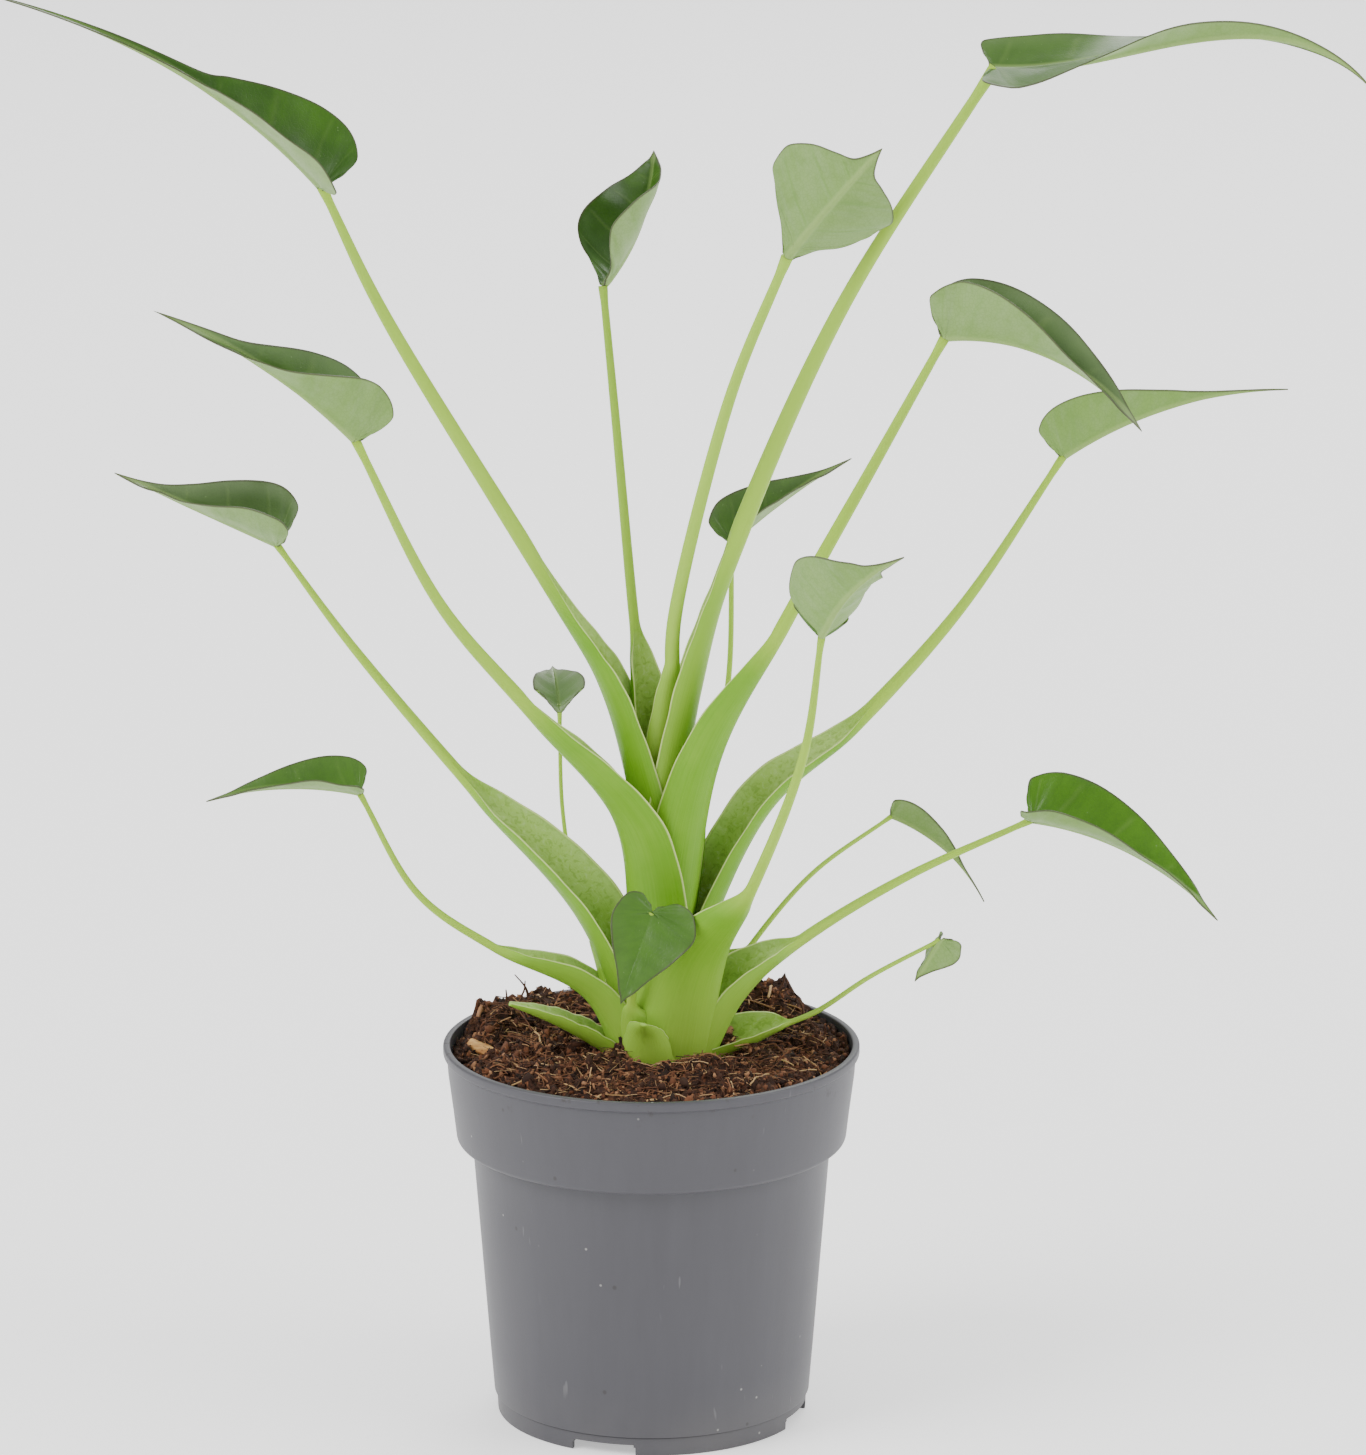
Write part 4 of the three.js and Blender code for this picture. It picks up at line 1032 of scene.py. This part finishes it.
def fibre_tree(name, tilt):
    """Bowed strands of given length and radius that lie flat, or tilted by as much as tilt"""
    tree = Tree(name, LITTER_INPUTS)
    span = tree.add("ShaderNodeCombineXYZ", values={"X": tree.given("Length")})
    rise = tree.add("ShaderNodeMath", {"operation": "MULTIPLY"}, {0: tree.given("Length"), 1: 0.1})
    middle = tree.add("ShaderNodeCombineXYZ", values={"Z": rise})
    far = tree.add("ShaderNodeVectorMath", {"operation": "SCALE"}, {0: span, "Scale": 0.5})
    near = tree.add("ShaderNodeVectorMath", {"operation": "SCALE"}, {0: span, "Scale": -0.5})
    bow = tree.add("GeometryNodeCurveQuadraticBezier", values={
        "Resolution": 7, "Start": near, "Middle": middle, "End": far})
    ring = tree.add("GeometryNodeCurvePrimitiveCircle", values={
        "Resolution": 4, "Radius": tree.given("Radius")})
    strand = tree.add("GeometryNodeCurveToMesh", values={
        "Curve": bow, "Profile Curve": ring, "Fill Caps": True})
    tree.scatter(strand, (-tilt, -tilt, 0), (tilt, tilt, 2 * math.pi), (0.35, 0.6, 0.6), (1.5, 1.9, 1.9),
                 (0.0035, 0.0035, 0.002), 110.0)
    return tree


def crumb_tree():
    """Small knobbly lumps of a given radius"""
    tree = Tree("crumbs", LITTER_INPUTS)
    ball = tree.add("GeometryNodeMeshIcoSphere", values={"Radius": tree.given("Radius"), "Subdivisions": 1})
    tree.scatter(ball, (0, 0, 0), (6.2, 6.2, 6.2), (0.4, 0.4, 0.3), (2.2, 1.6, 1.1),
                 (0.0022, 0.0022, 0.0022), 700.0)
    return tree


def strewn_piece(name, surface, tree, **values):
    """The litter that a tree strews over a surface, as a plain mesh piece"""
    piece = bare_piece(name, *surface)
    tree.put_on(piece, **values)
    apply_modifiers(piece)
    hand_over(piece, "peat")


# Operators
class PLANT_OT_pot(bpy.types.Operator):
    """Turn the nursery pot, with its rolled lip, band, foot ring, notches and drain holes"""
    bl_idname = "plant.pot"
    bl_label = "Pot"

    def execute(self, context):
        s = context.scene.plant_pot
        points, faces = lathe(pot_profile(s), POT_SEGMENTS)
        piece = new_piece("nursery_pot", points, faces, pot_finish(s))
        cut_points, cut_faces = pot_cutters(s)
        cutter = new_piece("pot_cutter", cut_points, cut_faces, piece.data.materials[0])
        cut = piece.modifiers.new("cut", "BOOLEAN")
        cut.operation, cut.solver, cut.object = "DIFFERENCE", "EXACT", cutter
        cut.use_self = True
        apply_modifiers(piece)
        bpy.data.objects.remove(cutter)
        piece.data.set_sharp_from_angle(angle=math.radians(32))
        hand_over(piece, "pot_plastic", "pot")
        return {"FINISHED"}


class PLANT_OT_peat(bpy.types.Operator):
    """Fill the pot with a lumpy body of peat"""
    bl_idname = "plant.peat"
    bl_label = "Peat"

    def execute(self, context):
        s, pot = context.scene.plant_soil, context.scene.plant_pot
        points, faces = peat_top(s, pot.rim_radius / MM, PEAT_RADIUS, PEAT_RINGS, PEAT_SEGMENTS)
        band, floor = pot.band_bottom / MM, pot.floor_top / MM
        for radius, height in ((54.2, band + 1.5), (49.8, band - 2), (43.9, floor + 0.3)):
            inner = len(points) - PEAT_SEGMENTS
            for k in range(PEAT_SEGMENTS):
                angle = 2 * math.pi * (k + 0.5 * (PEAT_RINGS % 2)) / PEAT_SEGMENTS
                points.append((radius * math.cos(angle), radius * math.sin(angle), height))
                after = (k + 1) % PEAT_SEGMENTS
                faces.append((inner + k, inner + PEAT_SEGMENTS + k, inner + PEAT_SEGMENTS + after,
                              inner + after))
        faces.append(tuple(range(len(points) - PEAT_SEGMENTS, len(points))))
        hand_over(new_piece("peat_body", points, faces, peat_finish(s)), "peat", "soil")
        return {"FINISHED"}


class PLANT_OT_litter(bpy.types.Operator):
    """Strew crumbs, lying fibres and rising wisps over the peat"""
    bl_idname = "plant.litter"
    bl_label = "Crumbs and fibres"

    def execute(self, context):
        s, rim = context.scene.plant_soil, context.scene.plant_pot.rim_radius / MM
        dark = litter_finish("crumb", 0.8, (0.0, screen(28, 16, 11)), (0.5, s.peat), (0.8, s.bark),
                             (1.0, screen(158, 116, 84)))
        root = litter_finish("fibre", 0.65, (0.0, screen(44, 26, 17)), (0.5, screen(104, 66, 44)),
                             (0.8, screen(140, 96, 66)), (1.0, screen(196, 164, 120)))
        pale = litter_finish("straw", 0.55, (0.0, screen(128, 90, 56)), (0.5, screen(164, 128, 84)),
                             (1.0, s.straw))
        crumbs, lying, rising = crumb_tree(), fibre_tree("fibres", 0.4), fibre_tree("wisps", 0.9)
        whole = peat_top(s, rim, CRUMB_REACH, 40, 120)
        inner = peat_top(s, rim, FIBRE_REACH, 36, 110)
        crumb, fibre, long = s.crumb_radius, s.fibre_radius, s.fibre_length
        for name, surface, tree, count, size, radius, seed, material in (
                ("peat_crumbs", whole, crumbs, s.crumb_count, 0, crumb, 0, dark),
                ("peat_chunks", whole, crumbs, s.chunk_count, 0, crumb * 2, 4, dark),
                ("peat_fibres", inner, lying, s.fibre_count, long, fibre * 1.1, 1, root),
                ("peat_hairs", inner, lying, s.hair_count, long * 0.75, fibre * 0.6, 3, root),
                ("peat_straws", inner, lying, s.straw_count, long * 1.5, fibre * 2.2, 5, pale),
                ("peat_wisps", inner, rising, s.wisp_count, long * 1.1, fibre * 1.3, 2, root)):
            strewn_piece(name, surface, tree, Density=count, Length=size, Radius=radius,
                         Seed=s.seed + seed, Material=material)
        self.lay_chip(s, rim)
        self.stand_twigs(s, rim, root)
        return {"FINISHED"}

    def lay_chip(self, s, rim):
        """A flat chip of pale wood by the left of the rim"""
        chip = bmesh.new()
        bmesh.ops.create_cube(chip, size=1)
        bmesh.ops.subdivide_edges(chip, edges=chip.edges[:], cuts=7, use_grid_fill=True)
        x, y = CHIP_PLACE
        middle = Vector((x, y, peat_height(x, y, s, rim) + 1.2))
        lean = Euler((0.35, 0.25, -0.5)).to_matrix()
        noise.seed_set(s.seed)  # noise_vector would else follow the clock
        for vertex in chip.verts:
            along, across, up = vertex.co
            taper = 1 - 0.45 * (along + 0.5) ** 2
            where = Vector((along * CHIP_SIZE[0], across * CHIP_SIZE[1] * taper, up * CHIP_SIZE[2]))
            where += noise.noise_vector(where / 2.2) * 0.55
            vertex.co = lean @ where + middle
        bmesh.ops.triangulate(chip, faces=chip.faces[:])
        points = [tuple(vertex.co) for vertex in chip.verts]
        faces = [tuple(vertex.index for vertex in face.verts) for face in chip.faces]
        chip.free()
        hand_over(new_piece("wood_chip", points, faces, chip_finish()), "peat")

    def stand_twigs(self, s, rim, material):
        """Stiff dark rootlets that stick up over the rim"""
        points, faces = [], []
        shares = np.linspace(0, 1, TWIG_ROWS)
        for (x, y), lean, radius in TWIGS:
            faces += [tuple(len(points) + corner for corner in face)
                      for face in ring_faces(TWIG_ROWS, TWIG_SIDES, TWIG_SIDES // 2)]
            foot = np.array([x, y, peat_height(x, y, s, rim) - 1.5])
            top = foot + np.array(lean)
            middle = (foot + top) / 2 + np.array([0.12, 0.1, 0.05]) * lean[2]
            for share, centre in zip(shares, spline((foot, middle, top), shares)):
                thick = radius * (1 - 0.6 * share)
                points += [tuple(centre + thick * np.array([math.cos(a), math.sin(a), 0]))
                           for a in np.linspace(0, 2 * math.pi, TWIG_SIDES, endpoint=False)]
        twigs = new_piece("peat_twigs", points, faces, material, {"tone": np.full(len(points), 0.25)})
        hand_over(twigs, "peat")


class PLANT_OT_stalks(bpy.types.Operator):
    """Grow the stem, the sheathed stalks and the small bracts"""
    bl_idname = "plant.stalks"
    bl_label = "Stem, stalks and bracts"

    def execute(self, context):
        s = context.scene.plant_stalks
        material = stalk_finish(s)
        for number, (leaf, tone) in enumerate(zip(LEAVES, STALK_TONE), 1):
            piece = build_stalk(f"stalk_{number:02d}", leaf, tone, material, s)
            hand_over(piece, "stalk", f"leaf_{number:02d}_stalk")
        for name, bract in BRACTS.items():
            piece = build_stalk(f"{name}_sheath", bract, BRACT_TONE, material, s)
            hand_over(piece, "bract", name)
        rings = spline(STEM_RINGS, np.linspace(0, 1, STEM_ROWS))
        profile = [(0, rings[0, 0])] + [(radius, height) for height, radius in rings] + [(0, rings[-1, 0])]
        points, faces = lathe(profile, STEM_SEGMENTS)
        points = np.asarray(points) + STEM_AXIS
        look = {"tone": STEM_TONE, "opened": 1, "inside": 0, "margin": 0}
        look = {key: np.full(len(points), value) for key, value in look.items()}
        stem = new_piece("stem_core", points, faces, material, look, points[:, :2] * 0.01)
        hand_over(stem, "stem", "stem")
        return {"FINISHED"}


class PLANT_OT_blades(bpy.types.Operator):
    """Unfold the leaf blades"""
    bl_idname = "plant.blades"
    bl_label = "Blades"

    def execute(self, context):
        s = context.scene.plant_blades
        material = blade_finish(s)
        for number, (leaf, look) in enumerate(zip(LEAVES, zip(BLADE_TONE, VEINED, WAX_AND_SHEEN)), 1):
            look = dict(zip(("tone", "veined", "bloom"), look))
            piece = build_blade(f"blade_{number:02d}", leaf, look, material, s)
            hand_over(piece, "leaf", f"leaf_{number:02d}_blade")
        return {"FINISHED"}


class PLANT_OT_stage(bpy.types.Operator):
    """Set the pale floor, the soft lights and the camera"""
    bl_idname = "plant.stage"
    bl_label = "Stage"

    def execute(self, context):
        s = context.scene.plant_stage
        paint = Finish("floor", Base_Color=rgba(s.floor), Roughness=0.9, Specular_IOR_Level=0.1,
                       Emission_Color=(1, 1, 1, 1), Emission_Strength=s.glow)
        ring = [(s.floor_radius / MM * math.cos(a), s.floor_radius / MM * math.sin(a), 0)
                for a in np.linspace(0, 2 * math.pi, FLOOR_SIDES, endpoint=False)]
        floor = new_piece("floor", ring, [tuple(range(FLOOR_SIDES))], paint.material)
        for name, (place, size, watts) in LAMPS.items():
            self.light(name, place, size, watts)
        world = context.scene.world or bpy.data.worlds.new("studio")
        context.scene.world = world
        world.use_nodes = True
        sky = world.node_tree.nodes["Background"]
        sky.inputs["Color"].default_value = (1, 1, 1, 1)
        sky.inputs["Strength"].default_value = s.sky
        lens = bpy.data.cameras.new("camera")
        lens.lens = s.focal
        lens.clip_end = 100
        camera = bpy.data.objects.new("camera", lens)
        camera.location = Vector(POT_AXIS) + Vector((s.camera_side, -s.distance, s.camera_height))
        camera.rotation_euler = (math.pi / 2 - s.pitch, 0, 0)
        context.scene.collection.objects.link(camera)
        context.scene.camera = camera
        return {"FINISHED"}

    def light(self, name, place, size, watts):
        """A soft round lamp that faces the foot of the plant"""
        lamp = bpy.data.lights.new(name, "AREA")
        lamp.shape, lamp.size, lamp.energy = "DISK", size, watts
        light = bpy.data.objects.new(name, lamp)
        light.location = Vector(POT_AXIS) + Vector(place)
        aim = Vector((0, 0, 0.2)) - Vector(place)
        light.rotation_euler = aim.to_track_quat("-Z", "Y").to_euler()
        bpy.context.scene.collection.objects.link(light)


class PLANT_PT_panel(bpy.types.Panel):
    bl_label = "Potted alocasia"
    bl_idname = "PLANT_PT_panel"
    bl_space_type = "VIEW_3D"
    bl_region_type = "UI"
    bl_category = "Plant"

    def draw(self, context):
        for operator in OPERATORS:
            self.layout.operator(operator.bl_idname)
        for key in SETTINGS:
            settings = getattr(context.scene, key)
            box = self.layout.box()
            for name in settings.__annotations__:
                box.prop(settings, name)


SETTINGS = {"plant_pot": PotSettings, "plant_soil": SoilSettings, "plant_stalks": StalkSettings,
            "plant_blades": BladeSettings, "plant_stage": StageSettings}
OPERATORS = [PLANT_OT_stage, PLANT_OT_pot, PLANT_OT_peat, PLANT_OT_litter, PLANT_OT_stalks, PLANT_OT_blades]


def register():
    for settings in SETTINGS.values():
        bpy.utils.register_class(settings)
    for key, settings in SETTINGS.items():
        setattr(bpy.types.Scene, key, PointerProperty(type=settings))
    for operator in OPERATORS:
        bpy.utils.register_class(operator)
    bpy.utils.register_class(PLANT_PT_panel)


def unregister():
    bpy.utils.unregister_class(PLANT_PT_panel)
    for operator in reversed(OPERATORS):
        bpy.utils.unregister_class(operator)
    for key, settings in SETTINGS.items():
        delattr(bpy.types.Scene, key)
        bpy.utils.unregister_class(settings)


def main():
    register()
    for operator in OPERATORS:
        group, name = operator.bl_idname.split(".")
        getattr(getattr(bpy.ops, group), name)()


if __name__ == "__main__":
    main()
